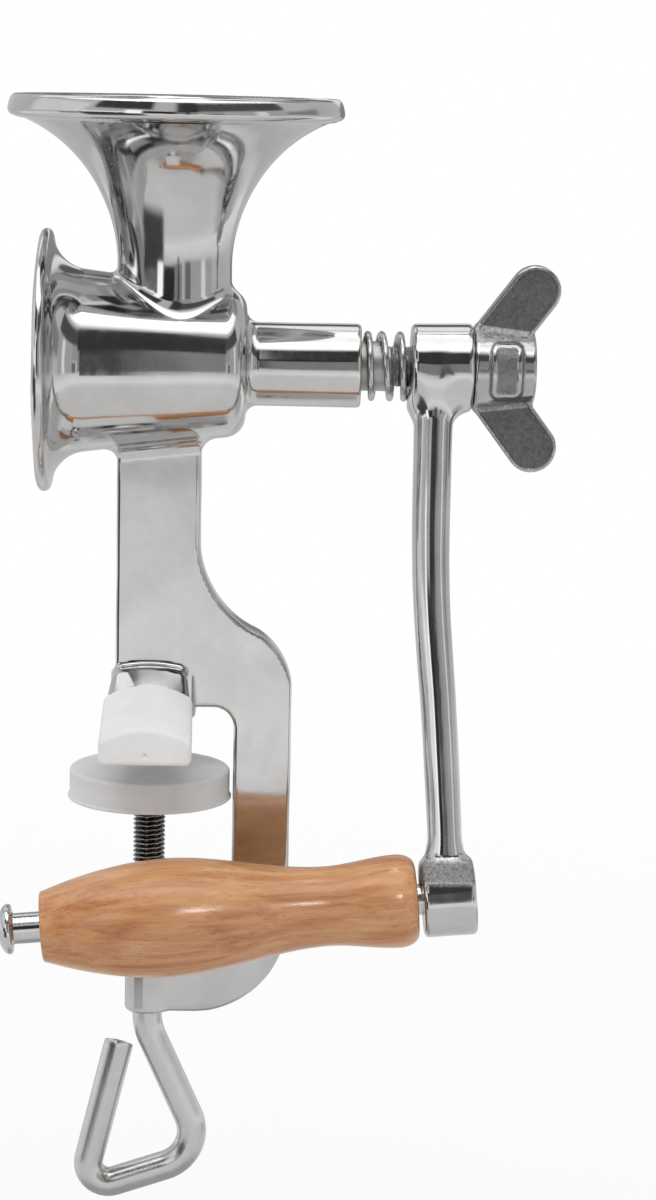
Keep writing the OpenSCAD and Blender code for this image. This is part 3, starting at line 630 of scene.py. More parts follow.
def beech():
    """Lacquered beech: long grain, fine short flecks and a slow change of tone, under a clear coat."""
    material, tree, shader = new_material("lacquered_beech", (0.6, 0.3, 0.1), 0, 0.42)
    shader.inputs["Coat Weight"].default_value = 0.7
    shader.inputs["Coat Roughness"].default_value = 0.14
    shader.inputs["Specular IOR Level"].default_value = 0.45
    grain = noise(tree, coordinates(tree, (1, 1, 0.07)), 520, 5, 0.65, 0.5)
    rays = noise(tree, coordinates(tree, (1, 1, 0.16)), 2300, 2, 0.5)
    tone = noise(tree, coordinates(tree, (1, 1, 0.3)), 60, 3, 0.55, 0.5)
    red, warm, pale = (0.42, 0.145, 0.047), (0.62, 0.285, 0.105), (0.75, 0.42, 0.195)
    fine = ramp(tree, grain, (0.34, red), (0.51, warm), (0.67, pale))
    broad = ramp(tree, tone, (0.38, red), (0.5, warm), (0.62, pale))
    wood = blend_colours(tree, ramp(tree, tone, (0.4, 0.35), (0.6, 0.6)), fine, broad)
    fleck = ramp(tree, rays, (0.6, 0.0), (0.72, 0.55))
    flecks = ramp(tree, grain, (0.3, (0.29, 0.095, 0.03)), (0.7, (0.37, 0.145, 0.045)))
    gloss = ramp(tree, grain, (0.3, 0.32), (0.8, 0.5))
    feed(tree, shader, blend_colours(tree, fleck, wood, flecks), gloss, bump(tree, rays, 0.03))
    tree.links.new(bump(tree, grain, 0.04), shader.inputs["Coat Normal"])
    return material


def silicone(name, dark, light, roughness, soft, clear):
    """Matt moulded silicone with a fine orange-peel skin; soft and clear let light into it."""
    material, tree, shader = new_material(name, light, 0, roughness)
    shader.inputs["Subsurface Weight"].default_value = soft
    shader.inputs["Subsurface Radius"].default_value = (0.005, 0.005, 0.005)
    shader.inputs["Transmission Weight"].default_value = clear
    shader.inputs["IOR"].default_value = 1.41
    place = coordinates(tree)
    cloud = noise(tree, place, 120, 4, 0.55)
    colour = ramp(tree, cloud, (0.3, dark), (0.7, light))
    peel = noise(tree, place, 1300, 3, 0.6)
    gloss = ramp(tree, peel, (0.3, roughness * 0.85), (0.7, roughness * 1.15))
    feed(tree, shader, colour, gloss, bump(tree, peel, 0.03))
    return material


steel = polished_steel("polished_casting", (1, 1.3, 0.5))
crank_steel = polished_steel("polished_crank", (1, 1, 0.06), "satin", "rough")
plated = turned_steel("plated_pin", (0.56, 0.56, 0.56), (0.68, 0.68, 0.685), 0.09, (1, 1, 5))
dark_steel = turned_steel("dark_spindle", (0.33, 0.325, 0.32), (0.58, 0.575, 0.57), 0.4, (6, 1, 1))
burr_steel = faced_steel("machined_burr", (0.22, 0.22, 0.22), (0.46, 0.455, 0.45), 0.3)
plain_steel = turned_steel("plain_steel", (0.45, 0.45, 0.45), (0.7, 0.7, 0.7), 0.28, (6, 1, 1))
wire_steel = turned_steel("spring_wire", (0.4, 0.4, 0.4), (0.64, 0.64, 0.64), 0.2, (3, 3, 3))
rod_steel = turned_steel("satin_rod", (0.58, 0.575, 0.57), (0.7, 0.695, 0.69), 0.24, (1, 1, 0.15))
thread_steel = blackened_thread()
bronze = turned_steel("turned_bronze", (0.36, 0.22, 0.09), (0.62, 0.43, 0.22), 0.32, (6, 1, 1))
nut_steel = cast_nut_steel()
wood = beech()
white_silicone = silicone("white_silicone", (0.83, 0.83, 0.83), (0.9, 0.9, 0.895), 0.6, 0.25, 0)
frosted_silicone = silicone("frosted_silicone", (0.83, 0.83, 0.835), (0.9, 0.9, 0.905), 0.5, 0.45, 0.2)


# Body casting
WAVE = 0.022
RIPPLE = 0.05


def waves(x, y, z):
    """The slow unevenness of hand polishing: dents all over, and level ripples on the upper half."""
    dents = (
        np.sin(x / 2.3 + 1.2 * np.sin(z / 6.1))
        + np.sin(y / 2.7 + z / 4.3)
        + np.sin(z / 3.1 - x / 4.7 + 0.8)
    )
    ripples = np.sin(z / 3.1 + 0.9 * np.sin(x / 7 + 1))
    upper = ease((z - 40) / 20)
    return WAVE * (1 - 0.7 * upper) * dents + RIPPLE * upper * ripples


def tongue(x, y, z, room):
    """The end of a toe that fills the pocket of its boot."""
    depth = np.abs(y)
    share = (depth - BOOT_MOUTH) / (BOOT_REACH - BOOT_MOUTH)
    half = mix(BOOT_MOUTH_W, BOOT_NOSE_W, share) - BOOT_WALL
    crown = (BOOT_ARCH - TOE_DROP) * (x / half) ** 2
    top = mix(BOOT_MOUTH_H, BOOT_NOSE_H, share) - BOOT_WALL - crown
    solid = soft_cut(z - top, np.abs(x) - half, TONGUE_EDGE)
    solid = np.maximum(solid, BOOT_WALL - z)
    ends = np.maximum(depth - BOOT_REACH + TONGUE_SHORT, BOOT_MOUTH - 1 - depth)
    return np.maximum(solid, ends) - room


def toes(x, y, z):
    """Both toes, as one bar through the column; its sole is cut by the throat."""
    depth = np.abs(y)
    share = np.clip((depth - PLATE_T / 2) / (BOOT_MOUTH - PLATE_T / 2), 0, 1)
    half = mix(TOE_ROOT_W, TOE_W, share)
    crown = mix(TOE_ROOT_ARCH, BOOT_ARCH, share) * (x / half) ** 2
    fall = (BOOT_MOUTH_H - BOOT_NOSE_H) / (BOOT_REACH - BOOT_MOUTH)
    slant = BOOT_MOUTH_H - TOE_DROP + fall * (BOOT_MOUTH - depth)
    top = np.minimum(slant, TOE_ROOT_H) - crown
    bar = soft_cut(z - top, np.abs(x) - half, TOE_EDGE)
    return soft_cut(np.maximum(bar, -PLATE_T - z), depth - BOOT_MOUTH, TOE_END_EDGE)


def plate_outline(x, z):
    """The column and clamp frame from the front, before the throat is cut."""
    shoulder = (x - FRAME_OUT) * math.sin(SHOULDER_SLOPE) + (z - SHOULDER_Z) * math.cos(SHOULDER_SLOPE)
    outline = fillet(x - COLUMN_RIGHT, soft_cut(x - FRAME_OUT, shoulder, BEND_OUT), BEND_IN)
    outline = np.maximum(outline, soft_cut(x - FRAME_OUT, ARM_BOTTOM - z, CORNER_R))
    left = np.maximum(COLUMN_LEFT - x, np.minimum(-x, ARM_TOP + 1 - z))
    return np.maximum(outline, np.maximum(left, z - COLUMN_TOP))


def throat(x, z):
    """The open jaw, with the toes' soles above it."""
    jaw = np.maximum(
        soft_cut(x - FRAME_IN, z - THROAT_TOP, THROAT_R),
        soft_cut(x - FRAME_IN, ARM_TOP - z, THROAT_R),
    )
    return np.maximum(jaw, np.minimum(TOE_W - x, z - BOOT_WALL))


def cavities(x, y, z, out, q):
    """Hopper, neck, feed chamber, burr seats, bush bore and clamp thread."""
    funnel = np.maximum(FLARE_R + HOPPER_WALL - q, AXIS_Z - z)
    face = np.maximum(out - BURR_FACE_R, x - FLANGE_X - FLANGE_T)
    sleeve = np.maximum(out - BURR_SLEEVE_R, x - BURR_END)
    chamber = np.maximum(out - CHAMBER_R, x - CHAMBER_END)
    bush = np.maximum(out - BUSH_R, CHAMBER_END - 1 - x)
    screw = np.maximum(np.hypot(x, y) - SCREW_BORE_R, z - ARM_TOP - 3)
    hollow = np.minimum(np.minimum(funnel, face), np.minimum(sleeve, chamber))
    return np.minimum(hollow, np.minimum(bush, screw))


def lip(u, v):
    """The hopper's rim across its section: a rounded, swelling band that leans back."""
    across = u * math.cos(LIP_LEAN) + v * math.sin(LIP_LEAN)
    along = v * math.cos(LIP_LEAN) - u * math.sin(LIP_LEAN)
    swell = along ** 2 / (2 * LIP_SWELL_R) * (across > 0)
    return rounded_box(across + swell, along, *LIP_HALF, LIP_ROUND)


def casting(x, y, z):
    """The whole casting, cut, polished and filled out with the toes' tongues."""
    r = np.hypot(x - HOPPER_X, y)
    q = np.hypot(r - FLARE_AXIS, np.maximum(z - FLARE_Z, 0))
    neck = np.maximum(np.maximum(FLARE_R - q, r - LIP_MID), AXIS_Z - z)
    out = np.hypot(y, z - AXIS_Z)
    front_x = FLANGE_X + FLANGE_T + FLANGE_FLARE
    taper = (BARREL_FRONT_R - BARREL_REAR_R) / (BARREL_END - SHOULDER_R - front_x)
    wall = out - BARREL_FRONT_R + taper * (x - front_x)
    barrel = soft_cut(wall, x - BARREL_END, SHOULDER_R)
    edge = FLANGE_T / 2
    flange = np.hypot(np.maximum(out - FLANGE_R + edge, 0), x - FLANGE_X - edge) - edge
    solid = np.maximum(fillet(barrel, flange, FLANGE_FLARE), FLANGE_X - x)
    boss = np.maximum(soft_cut(out - BOSS_R, x - BOSS_END, BOSS_EDGE), -x)
    solid = fillet(solid, boss, BOSS_FILLET)
    solid = fillet(solid, neck, NECK_FILLET)
    outline = plate_outline(x, z)
    lower = ease((ARM_TOP + BEVEL_FADE - z) / BEVEL_FADE)
    face = np.abs(y) - PLATE_T / 2
    bevel = (outline + BEVEL_W) * math.sin(BEVEL_SLOPE) + face * math.cos(BEVEL_SLOPE)
    plate = soft_cut(outline, np.maximum(face, bevel - 2 * (1 - lower)), PLATE_EDGE)
    solid = fillet(solid, plate, PLATE_FILLET)
    solid = fillet(solid, toes(x, y, z), TOE_FILLET)
    screw_boss = np.maximum(np.hypot(x, y) - SCREW_BOSS_R, z - ARM_TOP - PLATE_T)
    solid = fillet(solid, screw_boss, SCREW_BOSS_FILLET)
    solid = soft_cut(solid, -throat(x, z), PLATE_EDGE)
    solid = soft_cut(solid, ARM_BOTTOM - z, PLATE_EDGE)
    solid = soft_cut(solid + waves(x, y, z), -cavities(x, y, z, out, q), CAVITY_EDGE)
    solid = fillet(solid, lip(r - LIP_MID, z - HOPPER_TOP + LIP_R), LIP_FILLET)
    return np.minimum(solid, tongue(x, y, z, 0))


coarse = 1
points, faces, normals = surface(casting, *space_of("body_casting"), 0.6 * coarse)
body = piece("body_casting_polished", points, faces, [steel], normals)
dress(body, "frame", "polished_steel", "body_casting")


# Silicone boots
def boot(x, y, z):
    depth = np.abs(y)
    share = (depth - BOOT_MOUTH) / (BOOT_REACH - BOOT_MOUTH)
    half = mix(BOOT_MOUTH_W, BOOT_NOSE_W, share)
    top = mix(BOOT_MOUTH_H, BOOT_NOSE_H, share) - BOOT_ARCH * (x / half) ** 2
    solid = soft_cut(z - top, np.abs(x) - half, BOOT_TOP_EDGE)
    solid = soft_cut(solid, -z, BOOT_EDGE)
    solid = soft_cut(solid, depth - BOOT_REACH, BOOT_NOSE_EDGE)
    solid = soft_cut(solid, BOOT_MOUTH - depth, BOOT_MOUTH_EDGE)
    gate = np.hypot(np.hypot(x, z - GATE_Z), depth - BOOT_REACH) - GATE_R
    return np.maximum(soft_cut(solid, -gate, GATE_EDGE), -tongue(x, y, z, BOOT_ROOM))


for name in ("front_boot", "rear_boot"):
    points, faces, normals = surface(boot, *space_of(name), 0.45 * coarse)
    obj = piece(name + "_moulded", points, faces, [white_silicone], normals)
    dress(obj, "frame", "white_silicone", name)


# Crank
def arm_middle(t):
    """Where the arm's middle lies along X at a share of its length."""
    bow = 0.6 * np.sin(np.pi * np.clip(t / 0.625, 0, 1))
    return HUB_MID - 1.3 - bow + (EYE_X - HUB_MID + 0.6) * ease((t - 0.35) / 0.65)


def from_eye(x, y, z):
    """Distance from the pin's axis, and along it from the middle of its hub."""
    dx = x - EYE_X
    dz = z + CRANK_R
    along = -dx * math.cos(PIN_TILT) - dz * math.sin(PIN_TILT)
    return np.sqrt(np.maximum(dx * dx + y * y + dz * dz - along * along, 0)), along


def crank(x, y, z):
    t = -z / CRANK_R
    flare = ease((t - 0.885) / 0.075)
    half_w = mix(mix(*CRANK_W, t), EYE_NECK, flare) / 2
    half_t = mix(*CRANK_T, t) / 2
    round_r = np.minimum(half_w - 0.35, CRANK_ROUND)
    arm = rounded_box(x - arm_middle(t), y, half_w, half_t, round_r)
    arm = np.maximum(arm, np.maximum(z, -z - CRANK_R))
    out = np.hypot(y, z)
    wall = out - HUB_R - HUB_DRAFT * (x - HUB_MID)
    hub = soft_cut(wall, np.abs(x - HUB_MID) - HUB_LEN / 2, HUB_EDGE)
    pin, along = from_eye(x, y, z)
    eye = soft_cut(pin - EYE_R, np.abs(along) - EYE_LEN / 2, EYE_EDGE)
    solid = fillet(fillet(hub, arm, HUB_FILLET), eye, EYE_FILLET) + waves(x, y, z) * 0.8
    up = z * math.cos(CRANK_LEAN) - y * math.sin(CRANK_LEAN)
    bore = np.maximum(out - THREAD_R - FIT, np.abs(up) - FLAT_HALF - FIT)
    return soft_cut(solid, -np.minimum(bore, pin - PIN_R), CRANK_BORE_EDGE)


# Corners of the space that holds the crank, in the crank's own frame
CRANK_LOW = (52, -11, -122)
CRANK_HIGH = (70, 11, 11)
points, faces, normals = surface(crank, CRANK_LOW, CRANK_HIGH, 0.5 * coarse)
obj = piece("crank_arm_polished", points, faces, [crank_steel], normals, crank_pose)
share = -points[:, 2] / CRANK_R
rough = ease((share - 0.925) / 0.02) * ease((0.985 - share) / 0.015)
rough = rough * ease((np.abs(points[:, 1]) - 2) / 2)
mark(obj, "rough", rough * ease((from_eye(*points.T)[0] - 5) / 2))
mark(obj, "satin", ease((share - 0.07) / 0.06) * ease((0.93 - share) / 0.04))
dress(obj, "crank", "polished_steel", "crank_arm")


# Wing nut
def wing_outline(x, z):
    bar = capsule(x, np.abs(z - AXIS_Z), WING_FOOT, WING_TIP, WING_TIP_R)
    return np.maximum(bar, NUT_X + 0.3 - x)


def hub_radius(x):
    return mix(NUT_NEAR_R, NUT_FAR_R, (x - NUT_X) / (NUT_END - NUT_X))


def frame_outline(x, z):
    """The raised frame on the front of the hub."""
    return rounded_box(x - NUT_MID - PANEL_SHIFT, z - AXIS_Z, *PANEL_HALF, PANEL_ROUND)


def nut(x, y, z):
    height = z - AXIS_Z
    out = np.hypot(y, height)
    radius = hub_radius(x)
    panel = frame_outline(x, z)
    front = ease(-y / 2)
    raised = PANEL_RISE * ease(0.5 - panel / PANEL_SLOPE)
    raised = raised - PANEL_SINK * ease(0.5 - (panel + PANEL_RIM) / PANEL_SLOPE)
    hub = soft_cut(out - radius - raised * front, np.abs(x - NUT_MID) - NUT_LEN / 2, NUT_EDGE)
    outline = wing_outline(x, z)
    sunk = WING_SINK * ease((-outline - WING_RIM) / WING_SLOPE)
    wings = soft_cut(outline, np.abs(y) - WING_T / 2 + sunk, WING_EDGE)
    solid = fillet(hub, wings, WING_FILLET)
    return soft_cut(solid, THREAD_R + FIT - out, NUT_BORE_EDGE)


low, high = space_of("wing_nut")
points, faces, normals = surface(nut, low - 1, high + 1, 0.36 * coarse)
obj = piece("wing_nut_cast", points, faces, [nut_steel], normals)
x, y, z = points.T
outline = wing_outline(x, z)
proud = np.hypot(y, z - AXIS_Z) - hub_radius(x)
on_panel = ease((-outline - 0.45) / 0.35) * ease((2.1 - np.abs(y)) / 0.4)
on_panel = on_panel * ease((proud - 0.7) / 0.5)
panel = frame_outline(x, z)
front = ease((-y - 2) / 1)
# A painted shade line along the outer foot of the raised frame, drawn in the dark cast finish
painted_crease_shade = ease(1.4 - np.abs(panel - 0.25) / 0.3)
in_frame = np.maximum(0.8 * ease((-panel - 0.9) / 0.3), painted_crease_shade)
mark(obj, "cast", np.maximum(on_panel, in_frame * front))
height = z - AXIS_Z
fillets = ease((height - 5.4) / 0.9) + ease((-height - 6.4) / 0.8)
mark(obj, "sandy", fillets * ease((1.5 - proud) / 0.6) * ease((np.abs(y) - 1.2) / 0.6))
dress(obj, "wing_nut", "cast_steel", "wing_nut")


# Spindle, with its real thread and flats
def thread_cut(turns):
    """How deep a thread is cut after a number of turns, from 0 on its crest; crest and root are flat."""
    groove = np.abs((turns % 1) - 0.5) * 2
    return np.clip(groove - THREAD_CREST, 0, 1 - 2 * THREAD_CREST)


def spindle_rings(sides):
    angle = turn_round(sides)
    plain = [
        (SPINDLE_START, SPINDLE_HOLE_R),
        (SPINDLE_START, SPINDLE_TIP_R),
        (SPINDLE_START + 0.4, SEAT_R),
        (SEAT_END, SEAT_R),
        (SEAT_END, JOURNAL_R),
        (JOURNAL_END, JOURNAL_R),
        (JOURNAL_END + 0.3, THREAD_R),
    ]
    stations = [(x, np.full(sides, r)) for x, r in plain]
    for x in np.arange(THREAD_START, SPINDLE_END, THREAD_PITCH / 10):
        fade = min(1, (x - THREAD_START) / THREAD_PITCH)
        cut = thread_cut(x / THREAD_PITCH - angle / (2 * np.pi))
        radius = THREAD_R - THREAD_DEPTH * fade * cut
        chamfer = max(0, x - SPINDLE_END + SPINDLE_CHAMFER)
        radius = np.minimum(radius, max(THREAD_R - chamfer, SPINDLE_TIP_R))
        if x < FLATS_END:
            radius = np.minimum(radius, FLAT_HALF / np.maximum(np.abs(np.sin(angle)), 0.1))
        stations.append((x, radius))
    stations.append((SPINDLE_END, np.minimum(stations[-1][1], SPINDLE_TIP_R)))
    rows = [
        np.stack([np.full(sides, x), r * np.cos(angle), AXIS_Z + r * np.sin(angle)], 1)
        for x, r in stations
    ]
    return np.array(rows)


points, faces = rings(spindle_rings(72))
obj = piece("spindle_threaded", points, faces, [dark_steel], crease=40)
dress(obj, "spindle", "dark_steel", "spindle")


# Spring: a few turns with closed ends, squeezed between the bearing boss and the crank
def spring_rings(per_turn, sides):
    low, high = space_of("crank_spring")
    first, last = low[0] + WIRE_R, high[0] - WIRE_R
    t = np.linspace(0, SPRING_TURNS, per_turn * SPRING_TURNS + 1)
    end_rise = SPRING_END_TURN * SPRING_END_PITCH
    rise = np.interp(
        t,
        [0, SPRING_END_TURN, SPRING_TURNS - SPRING_END_TURN, SPRING_TURNS],
        [first, first + end_rise, last - end_rise, last],
    )
    angle = 2 * np.pi * t
    outward = np.stack([0 * t, np.cos(angle), np.sin(angle)], 1)
    middle = np.stack([rise, 0 * t, 0 * t + AXIS_Z], 1) + SPRING_R * outward
    round_wire = turn_round(sides)[:, None]
    spread = outward[:, None] * np.cos(round_wire) + np.array([1, 0, 0]) * np.sin(round_wire)
    wire = np.full(len(t), WIRE_R)
    wire[[0, -1]] *= 0.75
    return middle[:, None] + spread * wire[:, None, None]


points, faces = rings(spring_rings(64, 16))
obj = piece("crank_spring_wire", points, faces, [wire_steel], crease=50)
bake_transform(obj)
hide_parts("crank_spring")


# Wooden grip
def grip_radius(t):
    """Radius at a share of the grip's length, from the crank's side to its free end."""
    def share(start, end):
        return np.clip((t - start) / (end - start), 0, 1)

    def rounding(u):
        return 1 - np.sqrt(np.clip(1 - u ** 2, 0, 1))

    collar = GRIP_COLLAR_R - GRIP_COLLAR_ROUND * rounding(1 - t / GRIP_COLLAR)
    waist = mix(GRIP_COLLAR_R, GRIP_WAIST_R, ease(share(GRIP_COLLAR, GRIP_WAIST)))
    belly = mix(GRIP_WAIST_R, GRIP_BELLY_R, ease(share(GRIP_WAIST, GRIP_BELLY)))
    fall = mix(GRIP_BELLY_R, GRIP_END_R, share(GRIP_BELLY, GRIP_EDGE) ** GRIP_FALL_POWER)
    end = GRIP_END_R - GRIP_END_ROUND * rounding((t - GRIP_EDGE) / (1 - GRIP_EDGE))
    stretches = [t < GRIP_COLLAR, t < GRIP_WAIST, t < GRIP_BELLY, t < GRIP_EDGE]
    return np.select(stretches, [collar, waist, belly, fall], end)


stations = np.concatenate([
    GRIP_COLLAR * (1 - np.cos(np.linspace(0, np.pi / 2, 9))),
    np.linspace(GRIP_COLLAR + 0.01, GRIP_EDGE, 90),
    GRIP_EDGE + (1 - GRIP_EDGE) * np.sin(np.linspace(0.2, np.pi / 2, 7)),
])
bore = PIN_R + FIT
profile = [(bore, GRIP_NEAR)]
profile += [(r, GRIP_NEAR + GRIP_LEN * t) for t, r in zip(stations, grip_radius(stations))]
profile += [(bore, GRIP_FAR)]
points, faces = lathe(profile, 96)
turned_grip = piece("grip_turned", points, faces, [wood], pose=pin_pose, crease=50)
dress(turned_grip, "grip", "beech", "grip")

# Grip pin with its button head and peened end
head = GRIP_FAR + PIN_SHOW
foot = -EYE_LEN / 2
profile = [(PINHOLE_R, foot - 0.25), (PIN_PEEN_R, foot - 0.2), (PIN_R - PIN_CHAMFER, foot)]
profile += [(PIN_R, foot + PIN_CHAMFER), (PIN_R, head - PIN_NECK), (PIN_R + PIN_NECK, head)]
profile += arc((PIN_HEAD_R - PIN_RIM_R, head + PIN_RIM_R), PIN_RIM_R, -90, 0, 8).tolist()
crown = arc((0, 0), 1, 4, 89.9, 24)
profile += [(PIN_HEAD_R * u, head + PIN_RIM_R + (PIN_HEAD_T - PIN_RIM_R) * v) for u, v in crown]
points, faces = lathe(profile, 64)
obj = piece("grip_pin_plated", points, faces, [plated], pose=pin_pose, crease=40)
dress(obj, "crank", "plated_steel", "grip_pin")


# Clamp screw: one rod, threaded above and bent into a loop below
def bent_path(corners, step):
    """Points along a line with rounded corners of (x, z, radius), about a step apart."""
    line = [np.array(corners[0][:2], float)]
    for a, b, c in zip(corners, corners[1:], corners[2:]):
        here = np.array(b[:2], float)
        u = np.array(a[:2]) - here
        w = np.array(c[:2]) - here
        u, w = u / np.linalg.norm(u), w / np.linalg.norm(w)
        half = math.acos(np.clip(u @ w, -1, 1)) / 2
        middle = here + (u + w) / np.linalg.norm(u + w) * b[2] / math.sin(half)
        start = here + u * b[2] / math.tan(half) - middle
        end = here + w * b[2] / math.tan(half) - middle
        turn = math.atan2(start[0] * end[1] - start[1] * end[0], start @ end)
        for s in np.linspace(0, 1, max(int(abs(turn) * b[2] / step), 3) + 1):
            cos, sin = math.cos(turn * s), math.sin(turn * s)
            spoke = (start[0] * cos - start[1] * sin, start[0] * sin + start[1] * cos)
            line.append(middle + np.array(spoke))
    line.append(np.array(corners[-1][:2], float))
    dense = [line[0]]
    for a, b in zip(line, line[1:]):
        count = max(int(np.linalg.norm(b - a) / step), 1)
        dense += [mix(a, b, k / count) for k in range(1, count + 1)]
    return np.array(dense)


# Corners of the loop as (x, z, radius); the rod's end as (distance from the end, loss of radius)
LOOP = [(0, SCREW_END, 0), (0, -65.4, 13), (13.2, -94.4, 8.5), (-14.3, -103.7, 4.4), (-6, -69, 0)]
ROD_END = [(0.5, 0), (0.15, 0.15), (0, 0.55)]
END_SLANT = 0.36


def clamp_screw_rings(sides):
    angle = turn_round(sides)
    neck_top = SWIVEL_TOP + SCREW_NECK
    neck_low = SWIVEL_LOW - SCREW_GAP
    stations = [(neck_top, 2), (neck_top - 0.4, SCREW_NECK_R), (neck_low, SCREW_NECK_R), (neck_low, 3)]
    rows = [(np.array([0, z]), np.full(sides, r)) for z, r in stations]
    for z in np.arange(SWIVEL_LOW - 0.3, SCREW_END + 0.1, -SCREW_PITCH / 8):
        fade = min(1, (SWIVEL_LOW - z) / SCREW_FADE, (z - SCREW_END) / SCREW_FADE)
        cut = thread_cut(z / SCREW_PITCH - angle / (2 * np.pi))
        rows.append((np.array([0, z]), SCREW_R - SCREW_DEPTH * fade * cut))
    path = bent_path(LOOP, 0.8)
    rows += [(point, np.full(sides, ROD_R)) for point in path[:-1]]
    run = (path[-1] - path[-2]) / np.linalg.norm(path[-1] - path[-2])
    rows += [(path[-1] - back * run, np.full(sides, ROD_R - loss)) for back, loss in ROD_END]
    centres = np.array([centre for centre, _ in rows])
    ahead = np.gradient(centres, axis=0)
    ahead /= np.maximum(np.linalg.norm(ahead, axis=1), 1e-9)[:, None]
    ahead[:len(stations)] = (0, -1)
    across = np.stack([-ahead[:, 1], 0 * ahead[:, 0], ahead[:, 0]], 1)
    middle = np.stack([centres[:, 0], 0 * centres[:, 0], centres[:, 1]], 1)
    radius = np.array([r for _, r in rows])[..., None]
    spread = across[:, None] * np.cos(angle)[:, None] + np.array([0, 1, 0]) * np.sin(angle)[:, None]
    skin = middle[:, None] + spread * radius
    end = skin[-len(ROD_END):]
    end -= END_SLANT * end[:, :, 1:2] * np.array([run[0], 0, run[1]])
    return skin


points, faces = rings(clamp_screw_rings(48))
obj = piece("clamp_screw_threaded", points, faces, [rod_steel, thread_steel], crease=40)
blackened = [int(points[face[0]][2] > BLACK_END) for face in faces]
obj.data.polygons.foreach_set("material_index", blackened)
mark(obj, "crest", ease((np.hypot(points[:, 0], points[:, 1]) - SCREW_R + 0.2) / 0.15))
dress(obj, "clamp_screw", "rod_steel", "clamp_screw")

# Silicone pad round the swivel plate
low_z = PAD_TOP - PAD_T
socket_z = SWIVEL_TOP + PAD_SOCKET
hold_r = PLATE_R - PAD_HOLD
profile = [(PINHOLE_R, socket_z), (PAD_SOCKET_R, socket_z), (PAD_SOCKET_R, SWIVEL_TOP)]
profile += [(PLATE_R, SWIVEL_TOP), (PLATE_R, SWIVEL_LOW), (hold_r, SWIVEL_LOW)]
profile += [(hold_r, low_z + PAD_LIP_R), (hold_r + PAD_LIP_R, low_z)]
profile += arc((PAD_R + PAD_LIP, low_z + PAD_LIP_R), PAD_LIP_R, -90, 60, 6).tolist()
profile += [(PAD_R, low_z + 3 * PAD_LIP_R)]
profile += arc((PAD_R - PAD_EDGE, PAD_TOP - PAD_EDGE), PAD_EDGE, 0, 90, 10).tolist()
for r in np.linspace(PAD_R - 1, PINHOLE_R, 60):
    profile.append((r, PAD_TOP - PAD_RING_DEPTH * math.sin(math.pi * r / PAD_RING) ** 2))
points, faces = lathe(profile, 128)
obj = piece("clamp_pad_moulded", points, faces, [frosted_silicone], crease=50)
dress(obj, "clamp_foot", "frosted_silicone", "clamp_pad")

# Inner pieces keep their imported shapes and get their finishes
finishes = {
    "fixed_burr": burr_steel,
    "rotor_burr": burr_steel,
    "feed_auger": burr_steel,
    "rear_bush": bronze,
    "thrust_washer": bronze,
    "burr_washer": plain_steel,
    "burr_screw": plain_steel,
    "swivel_plate": plain_steel,
    "swivel_clip": dark_steel,
}
for name, material in finishes.items():
    mesh = frame["nodes"][name].data
    mesh.materials.clear()
    mesh.materials.append(material)

# Camera: at the photograph's angle, for an image of 656 by 1200
FOCAL_PX = 3042
IMAGE_H = 1200
CAMERA_PLACE = (23.4, -640, 141.7)
camera_data = bpy.data.cameras.new("camera")
camera_data.sensor_width = 36
camera_data.lens = FOCAL_PX / IMAGE_H * camera_data.sensor_width
camera = bpy.data.objects.new("camera", camera_data)
bpy.context.scene.collection.objects.link(camera)
bpy.context.scene.camera = camera
azimuth, tilt, roll = math.radians(1.27), math.radians(9.92), math.radians(1.24)
level = Vector((math.sin(azimuth), math.cos(azimuth), 0))
forward = level * math.cos(tilt) - Vector((0, 0, math.sin(tilt)))
right = forward.cross(Vector((0, 0, 1))).normalized()
up = right.cross(forward)
rolled_right = right * math.cos(roll) + up * math.sin(roll)
rolled_up = up * math.cos(roll) - right * math.sin(roll)
turned = Matrix((rolled_right, rolled_up, -forward)).transposed().to_4x4()
camera.matrix_world = Matrix.Translation(Vector(CAMERA_PLACE) * MM) @ turned
camera_data.clip_start = 0.01


# Stage: white surroundings for camera, reflections and clear pieces; a pale floor; flags for the metal
def is_seen(tree):
    """1 for camera, glossy and transmission rays, 0 for the rest."""
    path = tree.nodes.new("ShaderNodeLightPath")
    value = path.outputs["Is Camera Ray"]
    for name in ("Is Glossy Ray", "Is Transmission Ray"):
        value = larger_of(tree, value, path.outputs[name])
    return value


world = bpy.data.worlds.new("studio")
bpy.context.scene.world = world
world.use_nodes = True
tree = world.node_tree
white = tree.nodes["Background"]
white.inputs["Color"].default_value = (1, 1, 1, 1)
white.inputs["Strength"].default_value = 1
fill = tree.nodes.new("ShaderNodeBackground")
fill.inputs["Color"].default_value = (1, 1, 1, 1)
fill.inputs["Strength"].default_value = 0.6
choice = tree.nodes.new("ShaderNodeMixShader")
tree.links.new(is_seen(tree), choice.inputs["Fac"])
tree.links.new(fill.outputs[0], choice.inputs[1])
tree.links.new(white.outputs[0], choice.inputs[2])
tree.links.new(choice.outputs[0], tree.nodes["World Output"].inputs["Surface"])

FLOOR_Z = -0.15
pale, tree, shader = new_material("studio_floor", (0.8, 0.8, 0.8), 0, 0.9)
glow = tree.nodes.new("ShaderNodeEmission")
lit = tree.nodes.new("ShaderNodeMixShader")
tree.links.new(product(tree, is_seen(tree), attribute(tree, "white")), lit.inputs["Fac"])
tree.links.new(shader.outputs[0], lit.inputs[1])
tree.links.new(glow.outputs[0], lit.inputs[2])
tree.links.new(lit.outputs[0], tree.nodes["Material Output"].inputs["Surface"])


